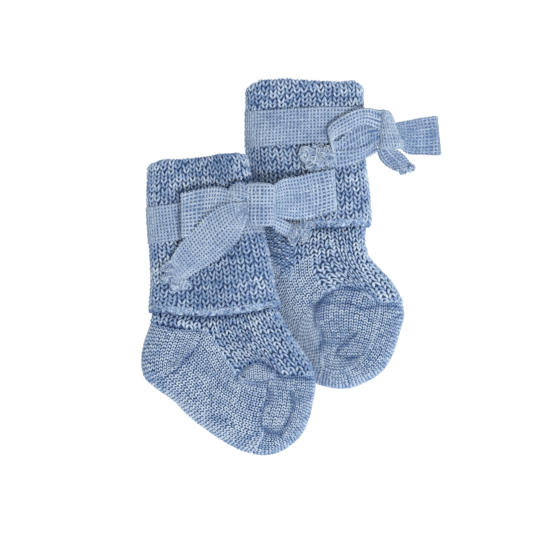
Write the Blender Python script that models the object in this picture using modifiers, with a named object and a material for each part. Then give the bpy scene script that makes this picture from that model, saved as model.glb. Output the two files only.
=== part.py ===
"""Pair of hand-knitted baby booties, lying on their sides, one half on top of the other.

Each bootie is one knitted tube, pressed flat as it lies: a ribbed leg whose top is turned down
outside as a cuff, a heel, a ribbed instep, a sole and a toe. A flat knitted ribbon goes round
the cuff and is tied in a bow. All lengths below are millimetres; the mesh is made in metres.
The origin is on the surface that the pair lies on, under the middle of its box. +Y runs from
the toes to the cuffs and +Z is up.
"""
import math

import bmesh
import bpy
import numpy as np

MM = 0.001
MERGE_UNDER = 1e-5

# Knitted wall, and the thicknesses that lie on each other through the turned-down cuff
WALL = 1.8
FIT_GAP = 0.35
HALF_HOLLOW = 4.0
BAND_THICK = 1.0
CUFF_HALF = HALF_HOLLOW + WALL + FIT_GAP + WALL
MID_HEIGHT = CUFF_HALF + FIT_GAP + BAND_THICK
FOOT_HALF = MID_HEIGHT + 0.3

# Turned-down cuff: the lip inside the fold, and how the leg swells below the cuff
LIP_DEPTH = 5.0
LIP_INSET = WALL + FIT_GAP + WALL
LIP_GAP = FIT_GAP + 0.1
ROLL_STEPS = (0.5, 1.8)
ROLL_ROUND = 0.8
CUFF_BODY_START = 12.0
CUFF_EDGE_TAPER = 0.6
SWELL_START = 1.0
SWELL_END = 5.0

# Closed end of the toe: how far short of the tip the lining stops, and how the two tips are pushed out
TOE_LINING_SHORT = 1.4 * WALL
TOE_TIP_PUSH = (1.6, 0.8)

# Corners of the flat ribbon pieces, as a share of their thickness
RIBBON_EDGE = 0.3

# Section across the flattened tube, and the spacing of the facets
SECTION_POWER = 2.4
TYPICAL_WIDTH = 26.0
AROUND = 24
HALF_AROUND = 11
STEP_ALONG = 7.5
STEP_FOOT = 5.0
SEAM_GAP = 0.25

# Where one bootie lies on the other: the lower one is pressed and the upper one is lifted
PRESSED = 0.65
LIFT = 2.0 * MID_HEIGHT * PRESSED + 0.4
DRAPE_RUN = 31.0
DRAPE_LEAD = 28.0
PRESS_RUN = 14.0

# Sole-side point, instep-side point and half thickness of each section, from fold to toe tip
FRONT_SECTIONS = (
    ((-61.6, 44.4), (-19.6, 49.6), CUFF_HALF - 0.5),
    ((-62.8, 38.0), (-18.2, 43.0), CUFF_HALF),
    ((-62.8, 24.5), (-16.2, 31.5), CUFF_HALF),
    ((-62.6, 6.0), (-10.9, 10.0), CUFF_HALF),
    ((-61.0, -17.6), (-6.0, -15.6), CUFF_HALF),
    ((-61.4, -27.5), (-0.6, -27.0), CUFF_HALF + 0.8),
    ((-65.0, -36.0), (3.6, -36.0), FOOT_HALF),
    ((-64.8, -44.5), (7.4, -43.5), FOOT_HALF),
    ((-59.8, -51.5), (9.8, -48.5), FOOT_HALF),
    ((-49.0, -59.5), (10.5, -52.0), FOOT_HALF),
    ((-37.5, -70.0), (10.0, -56.0), FOOT_HALF),
    ((-25.5, -77.5), (8.6, -61.5), FOOT_HALF),
    ((-14.5, -81.3), (6.2, -68.0), FOOT_HALF - 1.4),
    ((-5.5, -80.0), (2.6, -74.0), FOOT_HALF - 3.6),
)
BACK_SECTIONS = (
    ((-18.4, 79.2), (29.8, 81.0), CUFF_HALF - 0.5),
    ((-19.4, 72.0), (30.2, 74.5), CUFF_HALF),
    ((-19.4, 58.0), (30.0, 62.0), CUFF_HALF),
    ((-19.4, 38.0), (32.0, 38.6), CUFF_HALF),
    ((-19.2, 20.6), (34.4, 18.6), CUFF_HALF),
    ((-19.6, 8.0), (32.0, 8.0), CUFF_HALF + 0.8),
    ((-21.4, -3.0), (36.0, -1.0), FOOT_HALF),
    ((-21.2, -13.0), (42.0, -7.0), FOOT_HALF),
    ((-17.6, -22.0), (47.4, -13.6), FOOT_HALF),
    ((-9.6, -33.0), (49.4, -18.6), FOOT_HALF),
    ((0.6, -43.6), (48.8, -25.0), FOOT_HALF),
    ((12.0, -51.6), (46.4, -32.0), FOOT_HALF),
    ((23.4, -53.8), (42.0, -41.0), FOOT_HALF - 1.4),
    ((31.0, -51.8), (37.0, -46.4), FOOT_HALF - 3.6),
)

# Distances down the middle of the tube, from the fold
CUFF_LENGTH = {"front": 64.5, "back": 59.5}
LEG_LENGTH = {"front": 74.0, "back": 72.0}
HEEL_LENGTH = {"front": 99.5, "back": 101.0}
TOE_START = {"front": 109.5, "back": 111.0}
BAND_SPAN = {"front": (19.6, 36.0), "back": (12.4, 28.6)}

# Edge of the lower bootie under the upper one, as (y, x) points, and where the pressing ends
REST_EDGE = ((84.0, -19.4), (-13.0, -21.2), (-22.0, -17.6), (-33.0, -9.6), (-43.6, 0.6),
             (-51.6, 12.0), (-64.0, 30.0), (-82.0, 46.0))
PRESS_EDGE = ((84.0, -34.0), (60.0, -30.0), (46.0, -22.0), (20.0, -19.0), (-16.0, -10.0),
              (-36.0, 0.0), (-50.0, 6.6), (-60.0, 8.0))

# Bow of the upper bootie: middle line and width of each flat ribbon piece
FRONT_KNOT = ((-13.2, 26.6, 19.6), (5.8, 9.2, 4.2))
FRONT_LEFT_LOOP = (((-20.4, 24.0, 21.2), 9.5), ((-28.0, 23.8, 21.6), 17.0), ((-36.0, 22.8, 21.6), 20.0),
                   ((-46.6, 21.8, 20.9), 18.0))
FRONT_LEFT_TAIL = (((-20.6, 20.5, 24.8), 7.0), ((-29.0, 14.5, 24.9), 13.0), ((-37.0, 7.4, 24.3), 13.5),
                   ((-44.5, 1.6, 21.4), 13.0), ((-53.2, -4.4, 19.4), 10.5))
FRONT_RIGHT_LOOP = (((-6.6, 27.8, 27.4), 9.0), ((1.0, 29.0, 21.6), 15.0), ((8.0, 30.4, 19.7), 19.0),
                    ((17.6, 31.4, 19.6), 18.6))
FRONT_RIGHT_TAIL = (((-7.4, 18.6, 26.0), 6.0), ((-2.6, 15.8, 21.8), 7.6), ((5.6, 14.6, 19.6), 9.4))

# Bow of the lower bootie, beside its cuff
BACK_KNOT = ((39.2, 60.2, 10.2), (6.4, 7.4, 4.6))
BACK_LEFT_LOOP = (((38.6, 62.6, 17.4), 8.0), ((31.6, 61.6, 20.0), 12.4), ((24.0, 60.0, 20.6), 13.0),
                  ((15.4, 58.2, 20.2), 8.4))
BACK_LEFT_TAIL = (((35.8, 51.2, 14.6), 5.0), ((29.4, 49.4, 18.9), 7.0), ((19.4, 47.4, 20.0), 8.4),
                  ((4.4, 45.4, 19.4), 9.4))
BACK_RIGHT_LOOP = (((47.0, 58.4, 8.6), 6.0), ((52.0, 58.0, 4.4), 11.6), ((57.6, 57.6, 2.2), 14.6),
                   ((65.0, 57.2, 1.7), 15.8))
BACK_RIGHT_TAIL = (((39.4, 50.2, 5.6), 5.4), ((43.6, 46.4, 3.4), 6.0), ((50.4, 41.0, 1.9), 7.4))
LOOP_THICK = 2.6
TAIL_THICK = 1.6

YARN_COLOR = (0.225, 0.300, 0.440, 1.0)
SOLE_COLOR = (0.235, 0.312, 0.452, 1.0)
RIBBON_COLOR = (0.285, 0.375, 0.520, 1.0)
YARN_ROUGHNESS = 0.95


def clear_scene():
    """Starts from an empty scene."""
    for old in list(bpy.data.objects):
        bpy.data.objects.remove(old, do_unlink=True)


def new_collection(name):
    """Collection that holds the parts."""
    made = bpy.data.collections.new(name)
    bpy.context.scene.collection.children.link(made)
    return made


def smoothstep(t):
    """0 to 1 with level ends."""
    t = np.clip(t, 0.0, 1.0)
    return t * t * (3.0 - 2.0 * t)


def smooth_curve(keys, values, at):
    """Values between the keys on a smooth curve through all of them (cubic Hermite)."""
    keys, values = np.asarray(keys, float), np.asarray(values, float)
    slopes = np.gradient(values, keys, axis=0)
    at = np.clip(np.asarray(at, float), keys[0], keys[-1])
    i = np.clip(np.searchsorted(keys, at) - 1, 0, len(keys) - 2)
    span = keys[i + 1] - keys[i]
    t = (at - keys[i]) / span
    shape = (Ellipsis,) + (None,) * (values.ndim - 1)
    t, span = t[shape], span[shape]
    return ((2 * t**3 - 3 * t**2 + 1) * values[i] + (t**3 - 2 * t**2 + t) * span * slopes[i]
            + (3 * t**2 - 2 * t**3) * values[i + 1] + (t**3 - t**2) * span * slopes[i + 1])


def edge_x(edge, y):
    """X of an edge given as (y, x) points, at height y of the plan."""
    ys, xs = zip(*reversed(edge))
    return np.interp(y, ys, xs)


def lifted(x, y, z):
    """Raises the upper bootie where it lies on the lower one."""
    reach = (x - edge_x(REST_EDGE, y) + DRAPE_LEAD) / DRAPE_RUN
    return z + LIFT * smoothstep(reach)


def pressed(x, y, z):
    """Flattens the lower bootie where the upper one lies on it."""
    free = smoothstep((x - edge_x(PRESS_EDGE, y)) / PRESS_RUN)
    return z * (PRESSED + (1.0 - PRESSED) * free)


class FlatTube:
    """Knitted tube lying flat, as sections between its sole side and its instep side."""

    def __init__(self, sections, drape):
        self.sole = np.array([s[0] for s in sections])
        self.instep = np.array([s[1] for s in sections])
        self.half = np.array([s[2] for s in sections])
        middle = (self.sole + self.instep) / 2.0
        steps = np.linalg.norm(np.diff(middle, axis=0), axis=1)
        self.along = np.concatenate(([0.0], np.cumsum(steps)))
        self.length = float(self.along[-1])
        self.drape = drape

    def half_width(self, along):
        """Half of the tube's width at a distance from the fold."""
        sole = smooth_curve(self.along, self.sole, along)
        instep = smooth_curve(self.along, self.instep, along)
        return float(np.linalg.norm(instep - sole)) / 2.0

    def row(self, along, angles, inset):
        """Points round the section at a distance from the fold, inset from the outer surface."""
        sole = smooth_curve(self.along, self.sole, along)
        instep = smooth_curve(self.along, self.instep, along)
        half = float(smooth_curve(self.along, self.half, along))
        middle, across = (sole + instep) / 2.0, (instep - sole) / 2.0
        width = float(np.linalg.norm(across))
        across = across / width
        cos, sin = np.cos(angles), np.sin(angles)
        reach = np.sign(cos) * np.abs(cos) ** (2.0 / SECTION_POWER) * max(width - inset, 0.4)
        rise = np.sign(sin) * np.abs(sin) ** (2.0 / SECTION_POWER) * max(half - inset, 0.4)
        x, y = middle[0] + reach * across[0], middle[1] + reach * across[1]
        z = np.maximum(MID_HEIGHT + rise, 0.0)
        return np.stack((x, y, self.drape(x, y, z)), axis=1)


def even_angles(start, end, count):
    """Angles round a section, halfway between equal turns and equal steps along its outline."""
    fine = np.linspace(start, end, 721)
    cos, sin = np.cos(fine), np.sin(fine)
    x = TYPICAL_WIDTH * np.sign(cos) * np.abs(cos) ** (2.0 / SECTION_POWER)
    z = CUFF_HALF * np.sign(sin) * np.abs(sin) ** (2.0 / SECTION_POWER)
    walked = np.concatenate(([0.0], np.cumsum(np.hypot(np.diff(x), np.diff(z)))))
    share = np.linspace(0.0, 1.0, count)
    by_length = np.interp(share * walked[-1], walked, fine)
    return (by_length + start + share * (end - start)) / 2.0


def half_turn(side, width):
    """Angles over the sole half or the instep half, short of the middle seam by its gap."""
    seam = math.asin((SEAM_GAP / width) ** (SECTION_POWER / 2.0))
    start = math.radians(90.0 if side == "sole" else -90.0)
    return even_angles(start + seam, start + math.pi - seam, HALF_AROUND)


def full_turn():
    """Angles all the way round."""
    return even_angles(0.0, 2.0 * math.pi, AROUND + 1)[:-1]


def link_mesh(name, bm, collection, material):
    """Makes an object of the bmesh, with its faces pointing out."""
    bmesh.ops.remove_doubles(bm, verts=bm.verts, dist=MERGE_UNDER)
    bmesh.ops.recalc_face_normals(bm, faces=bm.faces)
    mesh = bpy.data.meshes.new(name)
    bm.to_mesh(mesh)
    bm.free()
    mesh.materials.append(material)
    mesh.shade_smooth()
    made = bpy.data.objects.new(name, mesh)
    collection.objects.link(made)
    return made


def shell(name, outer, inner, wrap, collection, material):
    """Closed wall between an outer and an inner grid of points, which have the same rows."""
    bm = bmesh.new()
    grids = [[[bm.verts.new(p * MM) for p in row] for row in grid] for grid in (outer, inner)]
    rows, cols = len(outer), len(outer[0])
    spans = [(j, (j + 1) % cols) for j in range(cols if wrap else cols - 1)]
    skin, lining = grids
    for i in range(rows - 1):
        for j, k in spans:
            bm.faces.new((skin[i][j], skin[i][k], skin[i + 1][k], skin[i + 1][j]))
            bm.faces.new((lining[i][k], lining[i][j], lining[i + 1][j], lining[i + 1][k]))
    for j, k in spans:
        bm.faces.new((skin[0][k], skin[0][j], lining[0][j], lining[0][k]))
        bm.faces.new((skin[-1][j], skin[-1][k], lining[-1][k], lining[-1][j]))
    if not wrap:
        for i in range(rows - 1):
            bm.faces.new((skin[i][0], skin[i + 1][0], lining[i + 1][0], lining[i][0]))
            bm.faces.new((skin[i + 1][-1], skin[i][-1], lining[i][-1], lining[i + 1][-1]))
    return link_mesh(name, bm, collection, material)


def even_steps(start, end, step):
    """Distances from start to end in equal steps of about the given size."""
    return list(np.linspace(start, end, max(1, round((end - start) / step)) + 1))


def rows_at(tube, profile, angles):
    """Grid rows of a profile given as (distance from the fold, inset) pairs."""
    return [tube.row(along, angles, inset) for along, inset in profile]


def add_cuff(label, tube, collection, material):
    """Outer turned-down layer, with the rolled fold that covers the top of the leg."""
    end = CUFF_LENGTH[label]
    middle = LIP_INSET / 2.0
    near, far = ROLL_STEPS
    body = even_steps(CUFF_BODY_START, end - CUFF_EDGE_TAPER, STEP_ALONG)
    outer = [(0.0, middle), (near, ROLL_ROUND), (far, 0.0), (LIP_DEPTH, 0.0),
             ((LIP_DEPTH + CUFF_BODY_START) / 2.0, 0.0)]
    inner = [(0.0, middle), (near, LIP_INSET - ROLL_ROUND), (far, LIP_INSET), (LIP_DEPTH, LIP_INSET),
             (LIP_DEPTH, WALL)]
    outer += [(s, 0.0) for s in body] + [(end, WALL / 2.0)]
    inner += [(s, WALL) for s in body] + [(end, WALL / 2.0)]
    turn = full_turn()
    return shell(f"{label}_cuff", rows_at(tube, outer, turn), rows_at(tube, inner, turn), True,
                 collection, material)


def add_leg(label, tube, collection, material):
    """Ribbed leg, inside the cuff and then swelling out below it."""
    cuff_end = CUFF_LENGTH[label]
    start, end = LIP_DEPTH + LIP_GAP, LEG_LENGTH[label] - SEAM_GAP
    hidden = WALL + FIT_GAP
    profile = [(s, hidden) for s in even_steps(start, cuff_end + SWELL_START, STEP_ALONG)]
    profile += [(cuff_end + SWELL_END, 0.0), (end, 0.0)]
    lining = [(s, inset + WALL) for s, inset in profile]
    turn = full_turn()
    return shell(f"{label}_leg", rows_at(tube, profile, turn), rows_at(tube, lining, turn), True,
                 collection, material)


def add_half(name, tube, side, start, end, collection, material):
    """Half of the foot's wall, on the sole side or on the instep side."""
    width = tube.half_width((start + end) / 2.0)
    turn = half_turn(side, width)
    stops = even_steps(start + SEAM_GAP, end - SEAM_GAP, STEP_FOOT)
    outer = rows_at(tube, [(s, 0.0) for s in stops], turn)
    inner = rows_at(tube, [(s, WALL) for s in stops], turn)
    return shell(name, outer, inner, False, collection, material)


def add_toe(label, tube, collection, material):
    """Closed end of the foot, hollow like a thimble."""
    start = TOE_START[label] + SEAM_GAP
    stops = even_steps(start, tube.length, STEP_FOOT)
    outer = [(s, 0.0) for s in stops]
    inner = [(s, WALL) for s in even_steps(start, tube.length - TOE_LINING_SHORT, STEP_FOOT)]
    inner += [inner[-1]] * (len(outer) - len(inner))
    turn = full_turn()
    grids = [rows_at(tube, profile, turn) for profile in (outer, inner)]
    for grid, push in zip(grids, TOE_TIP_PUSH):
        tip = grid[-1].mean(axis=0)
        ahead = tip - grid[0].mean(axis=0)
        tip = tip + push * ahead / np.linalg.norm(ahead)
        grid.append(np.tile(tip, (AROUND, 1)))
    return thimble(f"{label}_toe", grids[0], grids[1], collection, material)


def thimble(name, outer, inner, collection, material):
    """Closed wall between two grids that each end in a point, joined round their open rims."""
    bm = bmesh.new()
    rims = []
    for grid, order in ((outer, 1), (inner, -1)):
        rows = [[bm.verts.new(p * MM) for p in row] for row in grid[:-1]]
        tip = bm.verts.new(grid[-1][0] * MM)
        rims.append(rows[0])
        for j in range(AROUND):
            k = (j + 1) % AROUND
            for near, far in zip(rows, rows[1:]):
                if (near[j].co - far[j].co).length > MERGE_UNDER:
                    bm.faces.new((near[j], near[k], far[k], far[j])[::order])
            bm.faces.new((rows[-1][j], rows[-1][k], tip)[::order])
    skin, lining = rims
    for j in range(AROUND):
        k = (j + 1) % AROUND
        bm.faces.new((skin[k], skin[j], lining[j], lining[k]))
    bmesh.ops.delete(bm, geom=[v for v in bm.verts if not v.link_faces], context="VERTS")
    return link_mesh(name, bm, collection, material)


def add_band(label, tube, collection, material):
    """Flat ribbon round the cuff."""
    start, end = BAND_SPAN[label]
    stops = even_steps(start, end, STEP_ALONG)
    outer = [(s, -FIT_GAP - BAND_THICK) for s in stops]
    inner = [(s, -FIT_GAP) for s in stops]
    turn = full_turn()
    return shell(f"{label}_ribbon_band", rows_at(tube, outer, turn), rows_at(tube, inner, turn), True,
                 collection, material)


def add_strip(name, route, thick, drape, collection, material):
    """Flat ribbon piece along a route of ((x, y, z), width) points, with rounded edges."""
    keys = np.concatenate(([0.0], np.cumsum([math.dist(a[0], b[0]) for a, b in zip(route, route[1:])])))
    stops = np.array(even_steps(0.0, float(keys[-1]), STEP_FOOT))
    line = smooth_curve(keys, [p[0] for p in route], stops)
    widths = smooth_curve(keys, [p[1] for p in route], stops)
    line[:, 2] = drape(line[:, 0], line[:, 1], line[:, 2])
    ahead = np.gradient(line, axis=0)
    side = np.stack((-ahead[:, 1], ahead[:, 0], np.zeros(len(ahead))), axis=1)
    side /= np.linalg.norm(side, axis=1)[:, None]
    up = np.cross(ahead, side)
    up /= np.linalg.norm(up, axis=1)[:, None]
    edge = thick * RIBBON_EDGE
    bm = bmesh.new()
    rings = []
    for p, s, u, w in zip(line, side, up, widths):
        half, low = w / 2.0, thick / 2.0
        outline = ((half, low - edge), (half - edge, low), (0.0, low), (edge - half, low),
                   (-half, low - edge), (-half, edge - low), (edge - half, -low), (0.0, -low),
                   (half - edge, -low), (half, edge - low))
        rings.append([bm.verts.new((p + s * a + u * b) * MM) for a, b in outline])
    for near, far in zip(rings, rings[1:]):
        for j in range(len(near)):
            k = (j + 1) % len(near)
            bm.faces.new((near[j], near[k], far[k], far[j]))
    bm.faces.new(rings[0][::-1])
    bm.faces.new(rings[-1])
    return link_mesh(name, bm, collection, material)


def add_knot(name, shape, drape, collection, material):
    """Soft lump of wrapped ribbon, from a coarse cage with Subdivision Surface."""
    (x, y, z), half = shape
    bm = bmesh.new()
    bmesh.ops.create_cube(bm, size=2.0)
    bmesh.ops.subdivide_edges(bm, edges=bm.edges, cuts=1, use_grid_fill=True)
    height = float(drape(np.array([x]), np.array([y]), np.array([z]))[0])
    for v in bm.verts:
        v.co = (x * MM + v.co.x * half[0] * MM, y * MM + v.co.y * half[1] * MM,
                height * MM + v.co.z * half[2] * MM)
    made = link_mesh(name, bm, collection, material)
    soft = made.modifiers.new("soft", "SUBSURF")
    soft.levels = 1
    soft.render_levels = 1
    return made


def new_material(name, color):
    """Yarn of one colour."""
    made = bpy.data.materials.new(name)
    made.use_nodes = True
    shader = made.node_tree.nodes["Principled BSDF"]
    shader.inputs["Base Color"].default_value = color
    shader.inputs["Roughness"].default_value = YARN_ROUGHNESS
    shader.inputs["Metallic"].default_value = 0.0
    return made


def as_it_is(x, y, z):
    """No drape: the height as given."""
    return z


def add_bootie(label, sections, drape, collection, materials):
    """Knitted parts and ribbon band of one bootie."""
    tube = FlatTube(sections, drape)
    leg_end, heel_end, toe_start = LEG_LENGTH[label], HEEL_LENGTH[label], TOE_START[label]
    add_cuff(label, tube, collection, materials["cuff"])
    add_leg(label, tube, collection, materials["leg"])
    add_half(f"{label}_heel", tube, "sole", leg_end, heel_end, collection, materials["heel"])
    add_half(f"{label}_instep", tube, "instep", leg_end, toe_start, collection, materials["instep"])
    add_half(f"{label}_sole", tube, "sole", heel_end, toe_start, collection, materials["sole"])
    add_toe(label, tube, collection, materials["toe"])
    add_band(label, tube, collection, materials["ribbon_band"])


def add_bow(label, knot, strips, drape, collection, materials):
    """Knot, two loops and two tails of one bow."""
    add_knot(f"{label}_bow_knot", knot, drape, collection, materials["bow_knot"])
    for piece, (route, thick, own_drape) in strips.items():
        add_strip(f"{label}_{piece}", route, thick, own_drape, collection, materials[piece])


def sub_part_materials(label):
    """One material for each sub-part of one bootie."""
    colors = {"cuff": YARN_COLOR, "leg": YARN_COLOR, "heel": SOLE_COLOR, "instep": YARN_COLOR,
              "sole": SOLE_COLOR, "toe": SOLE_COLOR}
    for piece in ("ribbon_band", "bow_knot", "loop_left", "loop_right", "tail_left", "tail_right"):
        colors[piece] = RIBBON_COLOR
    return {piece: new_material(f"{label}_{piece}_yarn", color) for piece, color in colors.items()}


def build():
    """Makes both booties and their bows."""
    clear_scene()
    parts = new_collection("baby_booties")
    front, back = sub_part_materials("front"), sub_part_materials("back")
    add_bootie("front", FRONT_SECTIONS, lifted, parts, front)
    add_bootie("back", BACK_SECTIONS, pressed, parts, back)
    add_bow("front", FRONT_KNOT, {
        "loop_left": (FRONT_LEFT_LOOP, LOOP_THICK, lifted),
        "tail_left": (FRONT_LEFT_TAIL, TAIL_THICK, lifted),
        "loop_right": (FRONT_RIGHT_LOOP, LOOP_THICK, as_it_is),
        "tail_right": (FRONT_RIGHT_TAIL, TAIL_THICK, as_it_is),
    }, lifted, parts, front)
    add_bow("back", BACK_KNOT, {
        "loop_left": (BACK_LEFT_LOOP, LOOP_THICK, as_it_is),
        "tail_left": (BACK_LEFT_TAIL, TAIL_THICK, as_it_is),
        "loop_right": (BACK_RIGHT_LOOP, LOOP_THICK, as_it_is),
        "tail_right": (BACK_RIGHT_TAIL, TAIL_THICK, as_it_is),
    }, as_it_is, parts, back)


build()
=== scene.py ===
import math

import bpy
import numpy as np
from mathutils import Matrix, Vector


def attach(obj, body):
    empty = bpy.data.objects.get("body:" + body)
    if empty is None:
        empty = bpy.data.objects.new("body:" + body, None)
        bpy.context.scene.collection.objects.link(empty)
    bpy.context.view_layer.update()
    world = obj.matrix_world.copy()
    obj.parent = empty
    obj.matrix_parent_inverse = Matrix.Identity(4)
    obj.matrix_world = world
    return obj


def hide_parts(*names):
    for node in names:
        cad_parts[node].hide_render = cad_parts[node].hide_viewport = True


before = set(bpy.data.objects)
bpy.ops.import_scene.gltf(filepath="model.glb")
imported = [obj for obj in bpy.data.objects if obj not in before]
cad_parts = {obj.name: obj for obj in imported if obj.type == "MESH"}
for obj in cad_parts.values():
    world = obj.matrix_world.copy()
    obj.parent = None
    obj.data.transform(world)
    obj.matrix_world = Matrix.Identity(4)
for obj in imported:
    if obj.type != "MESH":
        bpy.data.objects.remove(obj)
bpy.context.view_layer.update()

# All lengths below are millimetres; meshes and the camera are made in metres.
MM = 0.001
RNG = np.random.default_rng(7)

# Height of the middle of the flattened tube; lower than NEAR_FLOOR, heights are squeezed to stay on the floor
MID_HEIGHT = 9.3
NEAR_FLOOR, SQUEEZE = 1.7, 0.95

# Half thickness and side rounding of the tube at the leg and at the foot, and the run between them
LEG_HALF, LEG_SIDE = 4.9, 7.0
FOOT_HALF, FOOT_SIDE = 8.5, 11.0
SWELL_RUN = 14.0

# Layers above the leg's own fabric
CUFF_LAYER = 2.3
BAND_LAYER = 3.75
# How much the band is drawn in at the sides and over what run, and a painted shade that darkens the whole
# band
BAND_DRAWN, BAND_DRAWN_RUN, BAND_PAINTED_DIM = 0.6, 9.0, 0.10
FOLD_RADIUS = 1.25
STRIP_MARGIN = 1.6

# Gauge of the knitting and of the ribbon, their yarns, the cloth under them, and the twist in radians per mm
RIB_PITCH, RIB_COURSE = 3.5, 2.0
PLAIN_PITCH, PLAIN_COURSE = 2.05, 1.45
RIB_YARN, PLAIN_YARN = 0.50, 0.37
WEAVE_PITCH, WEAVE_YARN, WEAVE_SWING, WEAVE_WANDER = 1.5, 0.50, 0.10, 0.07
SHEET_HALF, SHEET_STEP = 0.16, 1.1
LOOSE_FIBRE = 0.12
TUBE_SIDES = 5
PLY_TWIST = 4.2

# Share by which the cross yarns of the ribbon pass its edges, and how much higher its long yarns lie
WEAVE_PAST, WEAVE_OVER = 0.015, 0.08

# How far a loose stitch strays, in wales, courses and mm
JITTER = np.array((0.03, 0.05, 0.05))

# Stitches over which the heather of a course changes, how strongly it does, and how much each stitch does
STREAK_RUN, STREAKED, MOTTLED = 1.9, 0.3, 0.65

# Step in height that shows which way is straight out of a surface
PROBE = 0.3

# Share of its own height above which every, every second or every fourth stitch of a wale is made
EVERY, SECOND, FOURTH = 0.46, 0.23, 0.12

# Depth at which a crease is at its darkest, how far beside it that reaches, and how dark it gets: painted
# shade that darkens the colour of the stitches in and beside each crease
DEEP, SHADE_REACH, SHADE = 2.0, 0.60, 0.40
# Heather, height share and share of the under colour of what shows between the stitches: dark, a painted
# shade
SHADE_SKIN_TONE, FRAY_TONE, SHADED_CLOTH_TONE = (0.0, -0.44, 0.0), (0.0, -0.4, 0.0), (0.0, -0.7, 1.0)
SHADE_SKIN_DROP = 0.9
# How strongly the cuffs' painted highlight on the crowns and painted shade between the stitches show
CUFF_CONTRAST = 0.6

# How the upper bootie is lifted and the lower one is pressed, as in the CAD model
PRESSED = 0.65
LIFT = 2.0 * MID_HEIGHT * PRESSED + 0.4
DRAPE_RUN, DRAPE_LEAD, PRESS_RUN = 31.0, 28.0, 14.0
REST_EDGE = ((84, -19.4), (-13, -21.2), (-22, -17.6), (-33, -9.6), (-43.6, 0.6), (-51.6, 12), (-64, 30),
    (-82, 46))
PRESS_EDGE = ((84, -34), (60, -30), (46, -22), (20, -19), (-16, -10), (-36, 0), (-50, 6.6), (-60, 8))

# Outline of each bootie's own tube, from the top of its heel side round the toe and back up
FRONT_OUTLINE = ((-59.4, 84), (-59.5, 60), (-59.6, 43), (-59.8, 25), (-58.8, 8), (-58.2, -8), (-59, -17.5),
    (-60.8, -25), (-63.6, -33), (-64.8, -41), (-63.8, -47.4), (-59, -52.2), (-51.4, -57.4), (-44.2, -64.7),
    (-37, -70.2), (-26.8, -76.9), (-18.8, -80.4), (-12, -81.4), (-5.4, -80), (0.4, -76.2), (4.6, -71.4),
    (7.1, -65.4), (8.7, -58.1), (9.7, -50.5), (7.8, -43.9), (1.8, -34), (-3.2, -26), (-7.4, -18.6),
    (-10, -10), (-11.8, 0), (-14.2, 11), (-17, 21), (-19.4, 31.5), (-21.4, 43), (-22.8, 51), (-24.4, 62),
    (-26.4, 84))
BACK_OUTLINE = ((-16.9, 116), (-16.9, 80), (-16.9, 50), (-17, 20), (-18.2, 2), (-20, -8), (-20, -15.6),
    (-17, -23.4), (-10.4, -32.2), (-2.8, -40.2), (5, -46.6), (11.3, -50.6), (16, -51.9), (20.8, -52.6),
    (26.1, -52.1), (31.2, -50.1), (35.7, -47.7), (39.6, -44.4), (42.8, -39.2), (45.3, -32.4), (47.1, -26),
    (48.3, -21), (47.2, -15), (43.6, -8.4), (39, -3.2), (35.4, 0.6), (32.6, 4.4), (31.2, 9), (31.4, 19),
    (30.6, 33), (28.8, 46), (28, 62), (28, 80), (28.2, 116))


def smoothstep(t):
    """0 to 1 with level ends."""
    t = np.clip(t, 0.0, 1.0)
    return t * t * (3.0 - 2.0 * t)


def smooth_curve(keys, values, at):
    """Values between the keys on a smooth curve through all of them (cubic Hermite)."""
    keys, values = np.asarray(keys, float), np.asarray(values, float)
    if len(keys) == 2:
        slopes = np.repeat((values[1:] - values[:1]) / (keys[1] - keys[0]), 2, axis=0)
    else:
        slopes = np.gradient(values, keys, axis=0)
    at = np.clip(np.asarray(at, float), keys[0], keys[-1])
    i = np.clip(np.searchsorted(keys, at) - 1, 0, len(keys) - 2)
    span = keys[i + 1] - keys[i]
    t = (at - keys[i]) / span
    shape = (Ellipsis,) + (None,) * (values.ndim - 1)
    t, span = t[shape], span[shape]
    return ((2 * t**3 - 3 * t**2 + 1) * values[i] + (t**3 - 2 * t**2 + t) * span * slopes[i]
            + (3 * t**2 - 2 * t**3) * values[i + 1] + (t**3 - t**2) * span * slopes[i + 1])


def walked(points, axis=0):
    """Length along lines of points, up to each point."""
    steps = np.linalg.norm(np.diff(points, axis=axis), axis=-1)
    return np.insert(np.cumsum(steps, axis=axis), 0, 0.0, axis=axis)


def chord_keys(points):
    """Share of the way along a line at each of its points."""
    lengths = walked(np.asarray(points, float))
    return lengths / lengths[-1]


def unit(vectors):
    """The same directions at length 1."""
    return vectors / np.maximum(np.linalg.norm(vectors, axis=-1, keepdims=True), 1e-9)


def between(grid, fx, fy, i, j):
    """Values of a grid at (fx, fy), mixed from the corners of its cell (i, j)."""
    u, v = (fx - i)[..., None], (fy - j)[..., None]
    return ((grid[i, j] * (1 - u) + grid[i + 1, j] * u) * (1 - v)
            + (grid[i, j + 1] * (1 - u) + grid[i + 1, j + 1] * u) * v)


def to_segment(px, py, start, end):
    """Squared distance of every point from a straight piece of line."""
    (x0, y0), (x1, y1) = start, end
    dx, dy = x1 - x0, y1 - y0
    t = np.clip(((px - x0) * dx + (py - y0) * dy) / (dx * dx + dy * dy), 0.0, 1.0)
    return (px - x0 - t * dx) ** 2 + (py - y0 - t * dy) ** 2


def edge_x(edge, y):
    """X of an edge given as (y, x) points, at height y of the plan."""
    ys, xs = zip(*reversed(edge))
    return np.interp(y, ys, xs)


def lifted(x, y, z):
    """Raises the upper bootie where it lies on the lower one."""
    return z + LIFT * smoothstep((x - edge_x(REST_EDGE, y) + DRAPE_LEAD) / DRAPE_RUN)


def pressed(x, y, z):
    """Flattens the lower bootie where the upper one lies on it."""
    return z * (PRESSED + (1.0 - PRESSED) * smoothstep((x - edge_x(PRESS_EDGE, y)) / PRESS_RUN))


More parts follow.
